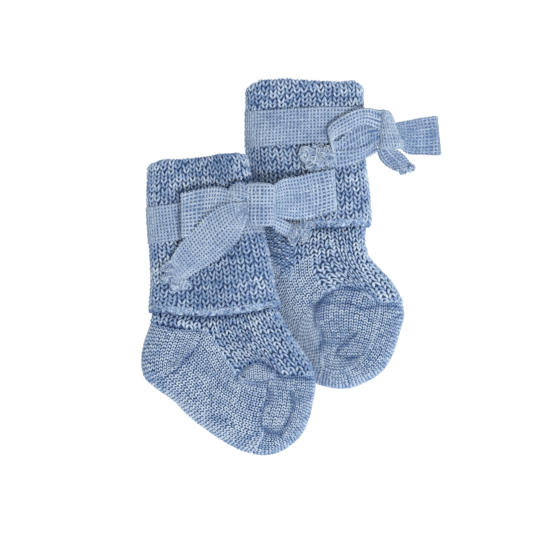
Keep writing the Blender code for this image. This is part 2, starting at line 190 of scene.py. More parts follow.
def settled(z):
    """Heights near or under the floor, squeezed so that they stay on top of it."""
    squeezed = NEAR_FLOOR + SQUEEZE * (np.exp((np.minimum(z, NEAR_FLOOR) - NEAR_FLOOR) / SQUEEZE) - 1.0)
    return np.where(z < NEAR_FLOOR, squeezed, z)


class Field:
    """Distance inside an outline (negative outside), read from a grid, with its inward direction."""

    STEP, MARGIN, SMOOTHINGS = 0.8, 12.0, 3
    OUTLINE_POINTS, CREASE_POINTS = 420, 25

    def __init__(self, outline, lumps, creases):
        line = smooth_curve(chord_keys(outline), outline, np.linspace(0.0, 1.0, self.OUTLINE_POINTS))
        self.low = line.min(0) - self.MARGIN
        count = np.ceil((line.max(0) + self.MARGIN - self.low) / self.STEP).astype(int) + 1
        axes = [low + np.arange(n) * self.STEP for low, n in zip(self.low, count)]
        px, py = np.meshgrid(*axes, indexing="ij")
        best = np.full(px.shape, np.inf)
        inside = np.zeros(px.shape, bool)
        for (x0, y0), (x1, y1) in zip(line, np.roll(line, -1, axis=0)):
            best = np.minimum(best, to_segment(px, py, (x0, y0), (x1, y1)))
            if y0 != y1:
                inside ^= ((y0 > py) != (y1 > py)) & (px < (x1 - x0) * (py - y0) / (y1 - y0) + x0)
        grid = np.sqrt(best) * np.where(inside, 1.0, -1.0)
        for _ in range(self.SMOOTHINGS):
            grid = (grid + np.roll(grid, 1, 0) + np.roll(grid, -1, 0) + np.roll(grid, 1, 1)
                    + np.roll(grid, -1, 1)) / 5.0
        slopes, face = np.gradient(grid, self.STEP), self.relief(px, py, lumps, creases)
        self.stack = np.stack((grid, *slopes, *face), axis=-1)

    def relief(self, px, py, lumps, creases):
        """Swellings and creases of the upper face in mm, and how far down in a crease each place is, which
        sets the painted shade there.
        """
        rise, shade = np.zeros_like(px), np.zeros_like(px)
        for (cx, cy), (rx, ry), turn, height in lumps:
            c, s = math.cos(math.radians(turn)), math.sin(math.radians(turn))
            a, b = ((px - cx) * c + (py - cy) * s) / rx, ((py - cy) * c - (px - cx) * s) / ry
            rise += height * np.exp(-(a * a + b * b))
        for points, width, depth in creases:
            line = smooth_curve(chord_keys(points), points, np.linspace(0.0, 1.0, self.CREASE_POINTS))
            best = np.min([to_segment(px, py, start, end) for start, end in zip(line, line[1:])], axis=0)
            rise -= depth * np.exp(-best / width**2)
            down = min(depth / DEEP, 1.0) * np.exp(-best / (SHADE_REACH * width) ** 2)
            shade = np.maximum(shade, down)
        return rise, shade

    def read(self, x, y):
        """Distance inside, the unit direction that leads further in, the relief and the painted crease shade.
        """
        fx = np.clip((x - self.low[0]) / self.STEP, 0.0, self.stack.shape[0] - 1.001)
        fy = np.clip((y - self.low[1]) / self.STEP, 0.0, self.stack.shape[1] - 1.001)
        got = between(self.stack, fx, fy, fx.astype(int), fy.astype(int))
        return got[:, 0], unit(got[:, 1:3]), got[:, 3], got[:, 4]


# How far round a side of the tube each share of its length has turned
TURNS = np.linspace(0.0, math.pi / 2.0, 40)
TURN_STEPS = np.hypot(LEG_HALF * np.cos(TURNS), LEG_SIDE * np.sin(TURNS))
TURN_SHARES = np.concatenate(([0.0], np.cumsum(TURN_STEPS[1:] + TURN_STEPS[:-1])))
TURN_SHARES /= TURN_SHARES[-1]


class Bootie:
    """Soft flattened shape of one bootie: takes a place on its flat pattern to a place in space."""

    def __init__(self, label, outline, drape, swell_from, lumps, creases):
        self.label, self.body = label, f"{label}_bootie"
        self.field = Field(outline, lumps, creases)
        self.drape = drape
        self.swell_from = swell_from

    def thickness(self, y):
        """Half thickness, side rounding, length round the side and how far that reaches outside."""
        share = smoothstep((self.swell_from - y) / SWELL_RUN)
        half = LEG_HALF + (FOOT_HALF - LEG_HALF) * share
        side = LEG_SIDE + (FOOT_SIDE - LEG_SIDE) * share
        round_length = math.pi / 2.0 * np.sqrt((half**2 + side**2) / 2.0)
        return half, side, round_length, round_length - side

    def to_edge(self, points):
        """Moves points near the outline to where the flat pattern ends, halfway down the side."""
        moved = points.copy()
        for _ in range(4):
            inside, inward = self.field.read(moved[:, 0], moved[:, 1])[:2]
            reach = self.thickness(moved[:, 1])[3]
            moved -= inward * (inside + reach)[:, None]
        return moved

    def shade(self, x, y):
        """How far down in a crease a place is, from 0 to 1: how strong the painted shade is there, and how
        far the dark skin under the stitches drops.
        """
        return self.field.read(x, y)[3]

    def place(self, x, y, above, side):
        """Point at a height above the fabric's own surface, on the upper (1) or under (-1) face."""
        half, round_side, length, reach = self.thickness(y)
        inside, inward, relief = self.field.read(x, y)[:3]
        turn = np.interp((inside + reach) / length, TURN_SHARES, TURNS)
        plan = np.where(turn < math.pi / 2.0 - 1e-6, round_side * (1.0 - np.cos(turn)), inside)
        rise = half * np.sin(turn)
        out, up = half * np.cos(turn), round_side * np.sin(turn)
        size = np.hypot(out, up)
        out, up = out / size, up / size
        if side > 0:
            rise = rise + relief * np.sin(turn) ** 2
        px = x + inward[:, 0] * (plan - inside - out * above)
        py = y + inward[:, 1] * (plan - inside - out * above)
        pz = settled(MID_HEIGHT + side * (rise + up * above))
        return np.stack((px, py, self.drape(px, py, pz)), axis=1)


class Patch:
    """Area of fabric between guide lines along its wales, each at its share of the way across."""

    ACROSS, ALONG = 49, 65

    def __init__(self, guides, bootie=None):
        along = np.linspace(0.0, 1.0, self.ALONG)
        lines, shares = [], []
        for share, points, on_edge in guides:
            line = smooth_curve(chord_keys(points), points, along)
            if on_edge:
                line = bootie.to_edge(line)
            lines.append(line)
            shares.append(share)
        self.grid = smooth_curve(shares, np.array(lines), np.linspace(0.0, 1.0, self.ACROSS))
        self.real = self.grid
        self.even()

    def even(self):
        """Spaces the points evenly across, as measured on the real surface."""
        across = walked(self.real)
        share = np.linspace(0.0, 1.0, self.ACROSS)
        evened = []
        for grid in (self.grid, self.real):
            columns = [[np.interp(share * across[-1, j], across[:, j], grid[:, j, k])
                        for k in range(grid.shape[2])] for j in range(self.ALONG)]
            evened.append(np.transpose(np.array(columns), (2, 0, 1)))
        self.grid, self.real = evened

    def fitted(self, surface, above=0.4):
        """The same patch measured and evened on a surface(x, y, above)."""
        made = Patch.__new__(Patch)
        made.grid = self.grid
        flat = self.grid.reshape(-1, 2)
        real = surface(flat[:, 0], flat[:, 1], np.full(len(flat), above))
        made.real = real.reshape(self.grid.shape[:2] + (3,))
        made.even()
        return made

    def at(self, across, along):
        """Points of the patch at shares across and along it, carried on straight past its ends."""
        fx = np.asarray(across) * (self.ACROSS - 1)
        fy = np.asarray(along) * (self.ALONG - 1)
        i = np.clip(np.floor(fx).astype(int), 0, self.ACROSS - 2)
        j = np.clip(np.floor(fy).astype(int), 0, self.ALONG - 2)
        return between(self.grid, fx, fy, i, j)

    def size(self):
        """Middle length across and along."""
        return walked(self.real[:, self.ALONG // 2])[-1], walked(self.real[self.ACROSS // 2])[-1]


def tube_template(spine, radii, sides, pitch, course):
    """Yarn along a spine in (wales, courses, mm): points, quads, distance along and turn."""
    size = np.array((pitch, course, 1.0))
    real = np.array(spine, float) * size
    ahead = unit(np.gradient(real, axis=0))
    side = unit(np.cross(ahead, (0.0, 0.0, 1.0)))
    up = np.cross(side, ahead)
    turns = np.arange(sides) * (2.0 * math.pi / sides)
    ring = np.cos(turns)[None, :, None] * side[:, None] + np.sin(turns)[None, :, None] * up[:, None]
    points = real[:, None] + ring * np.array(radii)[:, None, None]
    rows = len(real)
    flat = np.concatenate((points.reshape(-1, 3), real[[0, -1]])) / size
    faces = []
    for i in range(rows - 1):
        for j in range(sides):
            k = (j + 1) % sides
            faces.append((i * sides + j, i * sides + k, (i + 1) * sides + k, (i + 1) * sides + j))
    first, last, end = rows * sides, rows * sides + 1, (rows - 1) * sides
    for j in range(sides):
        k = (j + 1) % sides
        faces += [(first, k, j, j), (last, end + j, end + k, end + k)]
    along = walked(real)
    waves = (np.tile(np.cos(2 * turns), rows), np.tile(np.sin(2 * turns), rows))
    ply = np.stack((np.repeat(along, sides), *waves), axis=1)
    ply = np.concatenate((ply, ((along[0], 0.0, 0.0), (along[-1], 0.0, 0.0))))
    return flat, np.array(faces), ply


def joined(templates):
    """Several templates as one."""
    points, faces, plies, base = [], [], [], 0
    for p, f, y in templates:
        points.append(p)
        faces.append(f + base)
        plies.append(y)
        base += len(p)
    return np.concatenate(points), np.concatenate(faces), np.concatenate(plies)


def mirrored(template):
    """The same template on the other side of its wale."""
    points, faces, ply = template
    return points * (-1.0, 1.0, 1.0), faces[:, ::-1], ply * (-1.0, 1.0, 1.0)


def plain_stitch(fine):
    """One V of stockinette, its narrow end at the start of its course."""
    spine = ((0.03, -0.26, -0.50), (0.09, 0.00, 0.10), (0.19, 0.26, 0.34), (0.30, 0.56, 0.30),
             (0.37, 0.86, -0.06), (0.38, 1.14, -0.60))
    radii = PLAIN_YARN * np.array((0.60, 0.95, 1.08, 1.06, 0.88, 0.50))
    leg = tube_template(spine, radii, 6 if fine else 4, PLAIN_PITCH, PLAIN_COURSE)
    return joined((leg, mirrored(leg)))


def rib_stitch(fine):
    """One open V of 1x1 rib standing on its ridge, and the purl bar sunk beside it."""
    spine = ((0.04, -0.28, -0.35), (0.12, 0.00, 0.32), (0.235, 0.26, 0.62), (0.325, 0.58, 0.56),
             (0.355, 0.90, 0.12), (0.33, 1.18, -0.50))
    radii = RIB_YARN * np.array((0.60, 0.98, 1.06, 1.06, 0.92, 0.55))
    leg = tube_template(spine, radii, 6 if fine else 4, RIB_PITCH, RIB_COURSE)
    bar = ((0.28, 0.30, -0.85), (0.38, 0.48, -0.46), (0.50, 0.54, -0.34), (0.62, 0.48, -0.46),
           (0.72, 0.30, -0.85))
    radii = RIB_YARN * np.array((0.6, 0.8, 0.85, 0.8, 0.6))
    purl = tube_template(bar, radii, 5 if fine else 4, RIB_PITCH, RIB_COURSE)
    return joined((leg, mirrored(leg), purl))


def purl_stitch(fine):
    """One stitch seen from its wrong side: a bump over the course and a smaller one between."""
    over = ((-0.46, 0.10, -0.45), (-0.26, 0.42, 0.18), (0.0, 0.54, 0.40), (0.26, 0.42, 0.18),
            (0.46, 0.10, -0.45))
    under = ((0.10, 0.60, -0.45), (0.30, 0.84, -0.02), (0.50, 0.92, 0.08), (0.70, 0.84, -0.02),
             (0.90, 0.60, -0.45))
    radii = RIB_YARN * np.array((0.6, 0.9, 1.0, 0.9, 0.6))
    sides = 6 if fine else 4
    return joined((tube_template(over, radii, sides, PLAIN_PITCH, PLAIN_COURSE),
                   tube_template(under, radii * 0.85, sides, PLAIN_PITCH, PLAIN_COURSE)))


class Yarns:
    """Collects yarn tubes and sheets, then makes one object of them."""

    def __init__(self):
        self.points, self.faces, self.plies, self.tones = [], [], [], []
        self.count = 0

    def add(self, points, faces, ply, tone):
        """Adds points in mm with their faces and shading values."""
        self.points.append(points)
        self.faces.append(faces + self.count)
        self.plies.append(ply)
        self.tones.append(tone)
        self.count += len(points)

    def make(self, name, material):
        """Object of everything collected."""
        points = np.concatenate(self.points) * MM
        faces = np.concatenate(self.faces)
        mesh = bpy.data.meshes.new(name)
        is_tri = faces[:, 2] == faces[:, 3]
        starts_tri = faces[:, 0] == faces[:, 1]
        corners = np.where(is_tri | starts_tri, 3, 4)
        keep = np.ones(faces.shape, bool)
        keep[is_tri, 3] = False
        keep[starts_tri & ~is_tri, 1] = False
        loops = faces[keep]
        mesh.vertices.add(len(points))
        mesh.vertices.foreach_set("co", points.astype(np.float32).ravel())
        mesh.loops.add(len(loops))
        mesh.loops.foreach_set("vertex_index", loops.astype(np.int32))
        mesh.polygons.add(len(faces))
        starts = np.concatenate(([0], np.cumsum(corners)[:-1]))
        mesh.polygons.foreach_set("loop_start", starts.astype(np.int32))
        mesh.polygons.foreach_set("use_smooth", np.ones(len(faces), bool))
        mesh.update(calc_edges=True)
        for label, values in (("ply", self.plies), ("tone", self.tones)):
            layer = mesh.attributes.new(label, "FLOAT_VECTOR", "POINT")
            layer.data.foreach_set("vector", np.concatenate(values).astype(np.float32).ravel())
        mesh.materials.append(material)
        made = bpy.data.objects.new(name, mesh)
        bpy.context.scene.collection.objects.link(made)
        return made


NOISE_SIZE = 8192
NOISE = RNG.normal(size=NOISE_SIZE)


def streaks(course, along, scale):
    """Lighter and darker stretches that run along the yarn of each course."""
    at = along / scale + (course * 37.7) % 4001.0
    i = np.floor(at).astype(int)
    f = smoothstep(at - i)
    return NOISE[i % NOISE_SIZE] * (1 - f) + NOISE[(i + 1) % NOISE_SIZE] * f


# For each kind of knitting: its stitch, pitch and course, the height that has the middle colour, how
# fast it is painted paler above that and darker below (painted highlight and shade), how loose it is and how
# much its yarn varies in colour
STITCHES = {"rib": (rib_stitch, RIB_PITCH, RIB_COURSE, 0.46, 0.54, 2.2, 1.0),
            "plain": (plain_stitch, PLAIN_PITCH, PLAIN_COURSE, 0.29, 1.4, 1.0, 0.7),
            "purl": (purl_stitch, PLAIN_PITCH, PLAIN_COURSE, 0.45, 0.6, 2.4, 1.0)}


def knit(yarns, patch, surface, kind, fine, bare=None, shade=None, painted_dim=0.0, contrast=1.0):
    """Covers a patch with stitches, but for a bare strip; surface(x, y, above) gives places in space."""
    patch = patch.fitted(surface)
    width, length = patch.size()
    stitch, pitch, course, middle, gain, loose, varied = STITCHES[kind]
    wales = max(1, round(width / pitch))
    courses = max(1, round(length / course))
    template, faces, ply = stitch(fine)
    i, j = np.meshgrid(np.arange(wales), np.arange(courses), indexing="ij")
    i, j = i.ravel(), j.ravel()
    a = patch.at((i + 0.5) / wales, j / courses)
    b = patch.at((i + 0.5) / wales, (j + 1) / courses)
    tall = np.linalg.norm(b - a, axis=1) / course
    keep = (tall > EVERY) | ((tall > SECOND) & (j % 2 == 0)) | ((tall > FOURTH) & (j % 4 == 0))
    if bare:
        (x0, y0), (x1, y1), high = bare
        past = a[:, 1] - np.interp(a[:, 0], (x0, x1), (y0, y1))
        keep &= (past < STRIP_MARGIN) | (past > high - STRIP_MARGIN)
    i, j = i[keep], j[keep]
    step = np.where(tall[keep] > EVERY, 1.0, np.where(tall[keep] > SECOND, 2.0, 4.0))
    n, m = len(i), len(template)
    jitter = RNG.normal(size=(n, 3)) * JITTER * loose
    wide = template[None, :, 0] + jitter[:, None, 0]
    deep = template[None, :, 1] * step[:, None] + jitter[:, None, 1]
    across = (i[:, None] + 0.5 + wide) / wales
    along = (j[:, None] + deep) / courses
    high = np.broadcast_to(template[None, :, 2], (n, m)) + jitter[:, None, 2]
    flat = patch.at(across.ravel(), along.ravel())
    points = surface(flat[:, 0], flat[:, 1], high.ravel())
    index = (faces[None] + (np.arange(n) * m)[:, None, None]).reshape(-1, 4)
    streaked = streaks(j.astype(float), i.astype(float), STREAK_RUN)
    heather = varied * (streaked * STREAKED + RNG.normal(size=n) * MOTTLED)
    # Painted highlight and shade: each point of a stitch is coloured lighter the higher it stands and darker
    # down between the stitches, less the area's painted darkening
    height = (high.ravel() - middle) * gain * contrast - painted_dim
    # Painted shade: stitches in and beside a crease are coloured darker
    if shade:
        height -= SHADE * shade(flat[:, 0], flat[:, 1])
    tone = np.stack((np.repeat(heather, m), height, np.zeros(n * m)), axis=1)
    yarns.add(points, index, np.tile(ply, (n, 1)), tone)


def shares(u, v):
    """Every pair of the two rows of values, as two flat arrays."""
    return [grid.ravel() for grid in np.meshgrid(u, v, indexing="ij")]


def backing(yarns, patch, surface, high, low, step, grow=0.0, tone=SHADED_CLOTH_TONE):
    """Closed sheet just under the stitches, so that no light comes through between them, coloured dark as
    painted shade between them.
    """
    width, length = patch.size()
    cols, rows = max(3, round(width / step)) + 1, max(3, round(length / step)) + 1
    u = np.linspace(-grow / width, 1.0 + grow / width, cols)
    v = np.linspace(-grow / length, 1.0 + grow / length, rows)
    flat = patch.at(*shares(u, v))
    top, under = (surface(flat[:, 0], flat[:, 1], np.full(len(flat), h)) for h in (high, low))
    slab(yarns, top, under, cols, rows, tone)


def slab(yarns, top, under, cols, rows, tone=SHADED_CLOTH_TONE):
    """Closed sheet between two grids of points."""
    count = cols * rows
    cell = np.arange(count).reshape(cols, rows)
    quads = np.stack((cell[:-1, :-1], cell[1:, :-1], cell[1:, 1:], cell[:-1, 1:]), axis=-1).reshape(-1, 4)
    rim = np.concatenate((cell[:, 0], cell[-1, 1:], cell[-2::-1, -1], cell[0, -2:0:-1]))
    after = np.roll(rim, -1)
    sides = np.stack((after, rim, rim + count, after + count), axis=1)
    faces = np.concatenate((quads, quads[:, ::-1] + count, sides))
    ply = np.zeros((2 * count, 3))
    yarns.add(np.concatenate((top, under)), faces, ply, np.tile(tone, (2 * count, 1)))


def tubes(yarns, lines, ups, radius, tone, tall=0.85):
    """Yarn tubes along lines (count, steps, 3) in mm, flattened a little against their surface."""
    count, steps = lines.shape[:2]
    ahead = unit(np.gradient(lines, axis=1))
    side = unit(np.cross(ahead, ups))
    up = np.cross(side, ahead)
    turns = np.arange(TUBE_SIDES) * (2.0 * math.pi / TUBE_SIDES)
    size = np.broadcast_to(radius, (count, steps))
    ring = (np.cos(turns)[None, None, :, None] * side[:, :, None]
            + tall * np.sin(turns)[None, None, :, None] * up[:, :, None])
    points = lines[:, :, None] + ring * size[:, :, None, None]
    cell = np.arange(count * steps * TUBE_SIDES).reshape(count, steps, TUBE_SIDES)
    after = np.roll(cell, -1, axis=2)
    faces = [np.stack((cell[:, :-1], after[:, :-1], after[:, 1:], cell[:, 1:]), axis=-1).reshape(-1, 4)]
    first, last = cell[:, 0], cell[:, -1]
    for j in range(1, TUBE_SIDES - 1):
        faces.append(np.stack((first[:, 0], first[:, j + 1], first[:, j], first[:, j]), axis=-1))
        faces.append(np.stack((last[:, 0], last[:, j], last[:, j + 1], last[:, j + 1]), axis=-1))
    shape = (count, steps, TUBE_SIDES)
    ply = np.stack((np.repeat(walked(lines, 1)[..., None], TUBE_SIDES, 2),
                    np.broadcast_to(np.cos(2 * turns), shape),
                    np.broadcast_to(np.sin(2 * turns), shape)), axis=-1).reshape(-1, 3)
    shade = np.repeat(tone.reshape(count, steps, 1, 3), TUBE_SIDES, 2).reshape(-1, 3)
    yarns.add(points.reshape(-1, 3), np.concatenate(faces), ply, shade)


def weave(yarns, spot, width, length, shade=None):
    """Open woven grid of yarn on spot(u, v, above), width along u and length along v, in mm."""
    nu, nv = (max(3, round(size / WEAVE_PITCH)) for size in (width, length))
    for first, many, other in ((True, nu, nv), (False, nv, nu)):
        run = np.linspace(0.0, 1.0, 3 * other + 1)
        if not first:
            run = run * (1.0 + 2.0 * WEAVE_PAST) - WEAVE_PAST
        place = (np.arange(many) + 0.5) / many
        line, step = np.meshgrid(place, run, indexing="ij")
        sway = 0.03 / many * np.cumsum(RNG.normal(size=line.shape), axis=1)
        sway -= np.linspace(0.0, 1.0, sway.shape[1])[None] * sway[:, -1:]
        line = line + np.clip(sway, -WEAVE_WANDER / many, WEAVE_WANDER / many)
        sign = np.where(np.arange(many) % 2 == 0, 1.0, -1.0)[:, None] * (1.0 if first else -1.0)
        high = WEAVE_SWING * sign * np.sin(math.pi * step * other) + (WEAVE_OVER if first else 0.0)
        u, v = (line, step) if first else (step, line)
        shape = line.shape
        at = spot(u.ravel(), v.ravel(), high.ravel()).reshape(shape + (3,))
        over = spot(u.ravel(), v.ravel(), high.ravel() + PROBE).reshape(shape + (3,))
        thick = WEAVE_YARN * (1.0 + 0.07 * streaks(line * 917.0, step * other, 1.3))
        # Painted highlight and shade: the yarn is coloured lighter where it crosses over and darker where it
        # dips under, less any painted shade of the piece
        height = high * 0.5 - (shade(u, v) if shade else 0.0)
        heather = streaks(line * 533.0 + 11.0, step * other, 2.3) * 0.7
        tone = np.stack((heather, height, np.zeros(shape)), axis=-1)
        tubes(yarns, at, unit(over - at), thick, tone)


class Ribbon:
    """Flat ribbon piece through guide lines of (x, y, z) points, each at its share of the width.

    It is gathered in pleats towards the knot: at its start, and at its end too when it is a loop.
    """

    PLEATS, PLEAT_DEPTH, PLEAT_REACH, PLEAT_SHADE = 3.5, 0.55, 5.0, 0.22

    def __init__(self, guides, is_loop=False, painted_dim=0.0):
        self.is_loop = is_loop
        self.painted_dim = painted_dim
        self.patch = Patch([(share, points, False) for share, points in guides])
        g = self.patch.grid
        self.face = Patch.__new__(Patch)
        self.face.grid = unit(np.cross(np.gradient(g, axis=1), np.gradient(g, axis=0)))

    def pleat(self, u, v):
        """Height of the pleats, from -1 to 1, fading away from the knot."""
        v = np.clip(v, 0.0, 1.0)
        from_knot = (np.minimum(v, 1.0 - v) if self.is_loop else v) * self.patch.size()[1]
        fading = np.exp(-from_knot / self.PLEAT_REACH)
        return np.cos(2.0 * math.pi * self.PLEATS * np.asarray(u)) * fading

    def shade(self, u, v):
        """Painted shade on the ribbon: its painted darkening as a whole, and more down in its pleats."""
        return self.painted_dim + self.PLEAT_SHADE * np.maximum(-self.pleat(u, v), 0.0)

    def spot(self, u, v, above):
        """Place at shares of the width and length, at a height above the ribbon's middle."""
        high = np.asarray(above) + self.PLEAT_DEPTH * self.pleat(u, v)
        at = self.patch.at(u, v) + self.face.at(u, v) * high[..., None]
        at[..., 2] = settled(at[..., 2])
        return at

    def sheet(self, yarns):
        """Closed thin cloth in the middle of the ribbon, coloured dark as painted shade seen through the
        weave.
        """
        cols, rows = (max(4, round(size / SHEET_STEP)) for size in self.patch.size())
        u, v = shares(np.linspace(0, 1, cols), np.linspace(0, 1, rows))
        top, under = (self.spot(u, v, np.full(u.shape, high)) for high in (SHEET_HALF, -SHEET_HALF))
        slab(yarns, top, under, cols, rows)


def froth(yarns, centre, size, count, radius=0.33, pale=-0.9, fray=0.34):
    """Frayed end of a ribbon: curled loops of its yarn crowded over a lump, and a few loose fibres."""
    steps, lump = 7, 0.84
    # Loops are painted lighter the further out they stand and darker in among them: painted highlight and
    # shade
    paler, level = 1.6, -1.72  # colour of the loops by how far out they stand
    blob(yarns, centre, np.array(size) * lump)
    for many, thick, reach, bend in ((count, radius, fray, 0.50), (count // 3, LOOSE_FIBRE, 0.6, 0.40)):
        way = RNG.normal(size=(many, 3))
        way[:, 2] = np.abs(way[:, 2]) + 0.05
        way = unit(way)
        side = unit(np.cross(way, RNG.normal(size=(many, 3))))
        t = np.linspace(-1.0, 1.0, steps)[None, :, None]
        half = bend * RNG.uniform(0.6, 1.2, (many, 1, 1))
        arc = way[:, None] * np.cos(half * t) + side[:, None] * np.sin(half * t)
        far = lump + reach * (1.0 - t**2) * RNG.uniform(0.3, 1.2, (many, 1, 1))
        lines = np.array(centre) + arc * np.array(size) * far
        lines[..., 2] = settled(lines[..., 2])
        heather = np.repeat(pale + RNG.normal(size=(many, 1)) * 1.3, steps, 1)
        tone = np.stack((heather, paler * far[..., 0] + level, np.zeros((many, steps))), axis=-1)
        tubes(yarns, lines, arc, thick, tone, tall=1.0)


def blob(yarns, centre, size):
    """Closed uneven lump of pressed yarn under a frayed end, coloured dark as painted shade between the
    loops.
    """
    cols, rows, rough = 28, 16, 0.14
    turn, lift = np.meshgrid(np.arange(cols) * 2 * math.pi / cols, np.linspace(-0.48, 0.48, rows) * math.pi,
                             indexing="ij")
    ball = np.stack((np.cos(turn) * np.cos(lift), np.sin(turn) * np.cos(lift), np.sin(lift)), axis=-1)
    swell = 1.0 + rough * (np.sin(3.0 * turn + 1.3) * np.cos(2.0 * lift) + np.sin(5.0 * turn + 4 * lift))
    ends = np.array(centre) + np.array(((0, 0, -1.0), (0, 0, 1.0))) * size
    points = np.concatenate(((np.array(centre) + ball * size * swell[..., None]).reshape(-1, 3), ends))
    points[:, 2] = settled(points[:, 2])
    cell = np.arange(cols * rows).reshape(cols, rows)
    after = np.roll(cell, -1, axis=0)
    low, top = np.full(cols, cols * rows), np.full(cols, cols * rows + 1)
    faces = (np.stack((cell[:, :-1], after[:, :-1], after[:, 1:], cell[:, 1:]), axis=-1).reshape(-1, 4),
             np.stack((low, after[:, 0], cell[:, 0], cell[:, 0]), -1),
             np.stack((top, cell[:, -1], after[:, -1], after[:, -1]), -1))
    yarns.add(points, np.concatenate(faces), np.zeros((len(points), 3)), np.tile(FRAY_TONE, (len(points), 1)))


def yarn_material(name, light, middle, dark, under_colour, level):
    """Heathered plied yarn, with a painted highlight on its crowns and painted shade down between the
    stitches.
    """
    made = bpy.data.materials.new(name)
    made.use_nodes = True
    tree = made.node_tree
    add, link = tree.nodes.new, tree.links.new
    shader = tree.nodes["Principled BSDF"]

    def combined(kind, *values):
        """Output of a math node on sockets and numbers."""
        node = add("ShaderNodeMath")
        node.operation = kind
        for socket, value in zip(node.inputs, values):
            if isinstance(value, (int, float)):
                socket.default_value = value
            else:
                link(value, socket)
        return node.outputs[0]

    def attribute(label):
        """The three values that the mesh keeps under a name."""
        source, parts = add("ShaderNodeAttribute"), add("ShaderNodeSeparateXYZ")
        source.attribute_name = label
        link(source.outputs["Vector"], parts.inputs[0])
        return parts.outputs

    def noise(scale):
        """Soft noise in space."""
        node = add("ShaderNodeTexNoise")
        node.inputs["Scale"].default_value = scale
        node.inputs["Detail"].default_value = 2.0
        link(where.outputs["Position"], node.inputs["Vector"])
        return node.outputs[0]

    where = add("ShaderNodeNewGeometry")
    heather, height, under_share = attribute("tone")
    along, wave_cos, wave_sin = attribute("ply")
    grain, cloud = noise(1300.0), noise(95.0)

    twist = combined("MULTIPLY", along, PLY_TWIST)
    ply_wave = combined("ADD", combined("MULTIPLY", wave_sin, combined("COSINE", twist)),
                        combined("MULTIPLY", wave_cos, combined("SINE", twist)))
    share = combined("MULTIPLY_ADD", heather, 0.12, level)
    for part, middle_value, strength in ((grain, 0.5, 0.8), (cloud, 0.5, 0.6), (ply_wave, 0.0, 0.08)):
        part = combined("MULTIPLY", combined("SUBTRACT", part, middle_value), strength)
        share = combined("ADD", share, part)
    # The height share carries the painted highlight on the crowns and the painted shade between stitches and
    # in creases
    share = combined("ADD", share, height)
    ramp = add("ShaderNodeValToRGB")
    for stop, position, colour in zip(ramp.color_ramp.elements, (0.05, 0.95), (dark, light)):
        stop.position = position
        stop.color = colour
    ramp.color_ramp.elements.new(0.5).color = middle
    link(share, ramp.inputs[0])
    # The under colour is a dark painted shade for what shows between the stitches and through the weave
    under = add("ShaderNodeMix")
    under.data_type = "RGBA"
    under.inputs[7].default_value = under_colour
    link(ramp.outputs[0], under.inputs[6])
    link(under_share, under.inputs[0])
    link(under.outputs[2], shader.inputs["Base Color"])
    bump = add("ShaderNodeBump")
    bump.inputs["Strength"].default_value = 0.5
    bump.inputs["Distance"].default_value = 0.00012
    link(combined("ADD", combined("MULTIPLY", ply_wave, 0.6), grain), bump.inputs["Height"])
    link(bump.outputs[0], shader.inputs["Normal"])
    for label, value in (("Roughness", 0.92), ("Sheen Weight", 0.18), ("Sheen Tint", (0.62, 0.76, 1.0, 1.0)),
                         ("Sheen Roughness", 0.6), ("Specular IOR Level", 0.2)):
        shader.inputs[label].default_value = value
    return made


# Colours of the painted highlight on the crowns, of the middle, of the painted shade between the stitches and
# of the cloth below (dark, a painted shade too), and the middle level
YARN = yarn_material("soft_blue_yarn", (0.60, 0.70, 0.81, 1.0), (0.210, 0.335, 0.550, 1.0),
                     (0.070, 0.15, 0.37, 1.0), (0.050, 0.115, 0.32, 1.0), 0.50)
RIBBON = yarn_material("soft_blue_ribbon", (0.63, 0.72, 0.81, 1.0), (0.345, 0.45, 0.61, 1.0),
                       (0.09, 0.17, 0.34, 1.0), (0.09, 0.17, 0.34, 1.0), 0.57)


def shown(yarns, label, piece, body, material, part=None):
    """Collected yarn as one piece on its body: it stands for its own CAD node, or belongs to a part."""
    made = yarns.make(f"{label}_{piece}_yarns", material)
    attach(made, body)
    if part is None:
        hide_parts(f"{label}_{piece}")
    return made


def woven(cloth, threads, label, piece, body):
    """Thin cloth, shown in place of its CAD node, with its woven yarn on it."""
    base = shown(cloth, label, piece, body, RIBBON)
    top = threads.make(f"{label}_{piece}_weave", RIBBON)
    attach(top, body)


def on_face(bootie, side):
    """Surface of one face of a bootie."""
    return lambda x, y, above: bootie.place(x, y, above, side)


def folded_over(bootie, side, fold):
    """Cuff surface: flat up to the fold line, over it, and down inside."""
    fold_x, fold_y = zip(*fold)

    def surface(x, y, above):
        """Place on the cuff's flat pattern, at a height above its fabric."""
        past = y - np.interp(x, fold_x, fold_y)
        turn = np.clip(past / FOLD_RADIUS, 0.0, math.pi)
        beyond = np.maximum(past - math.pi * FOLD_RADIUS, 0.0)
        radius = FOLD_RADIUS + above
        up = np.where(past > 0.0, CUFF_LAYER - FOLD_RADIUS + radius * np.cos(turn), CUFF_LAYER + above)
        shift = np.where(past > 0.0, radius * np.sin(turn) - beyond, past)
        return bootie.place(x, np.interp(x, fold_x, fold_y) + shift, up, side)

    return surface


def tight(bootie, side):
    """Surface of the ribbon round the cuff, drawn closer where it turns round the sides."""
    def surface(x, y, above):
        """Place on the band, at a height above its middle."""
        inside = bootie.field.read(x, y)[0] + bootie.thickness(y)[3]
        drawn = BAND_DRAWN * (1.0 - smoothstep(inside / BAND_DRAWN_RUN))
        return bootie.place(x, y, above + BAND_LAYER - drawn, side)

    return surface


def add_knit(bootie, piece, patches):
    """Knitted area, on both faces of the bootie."""
    yarns = Yarns()
    for kind, guides, painted_dim in patches:
        patch = Patch(guides, bootie)
        knit(yarns, patch, on_face(bootie, 1), kind, True, shade=bootie.shade, painted_dim=painted_dim)
        knit(yarns, patch, on_face(bootie, -1), kind, False, painted_dim=painted_dim)
    shown(yarns, bootie.label, piece, bootie.body, YARN)


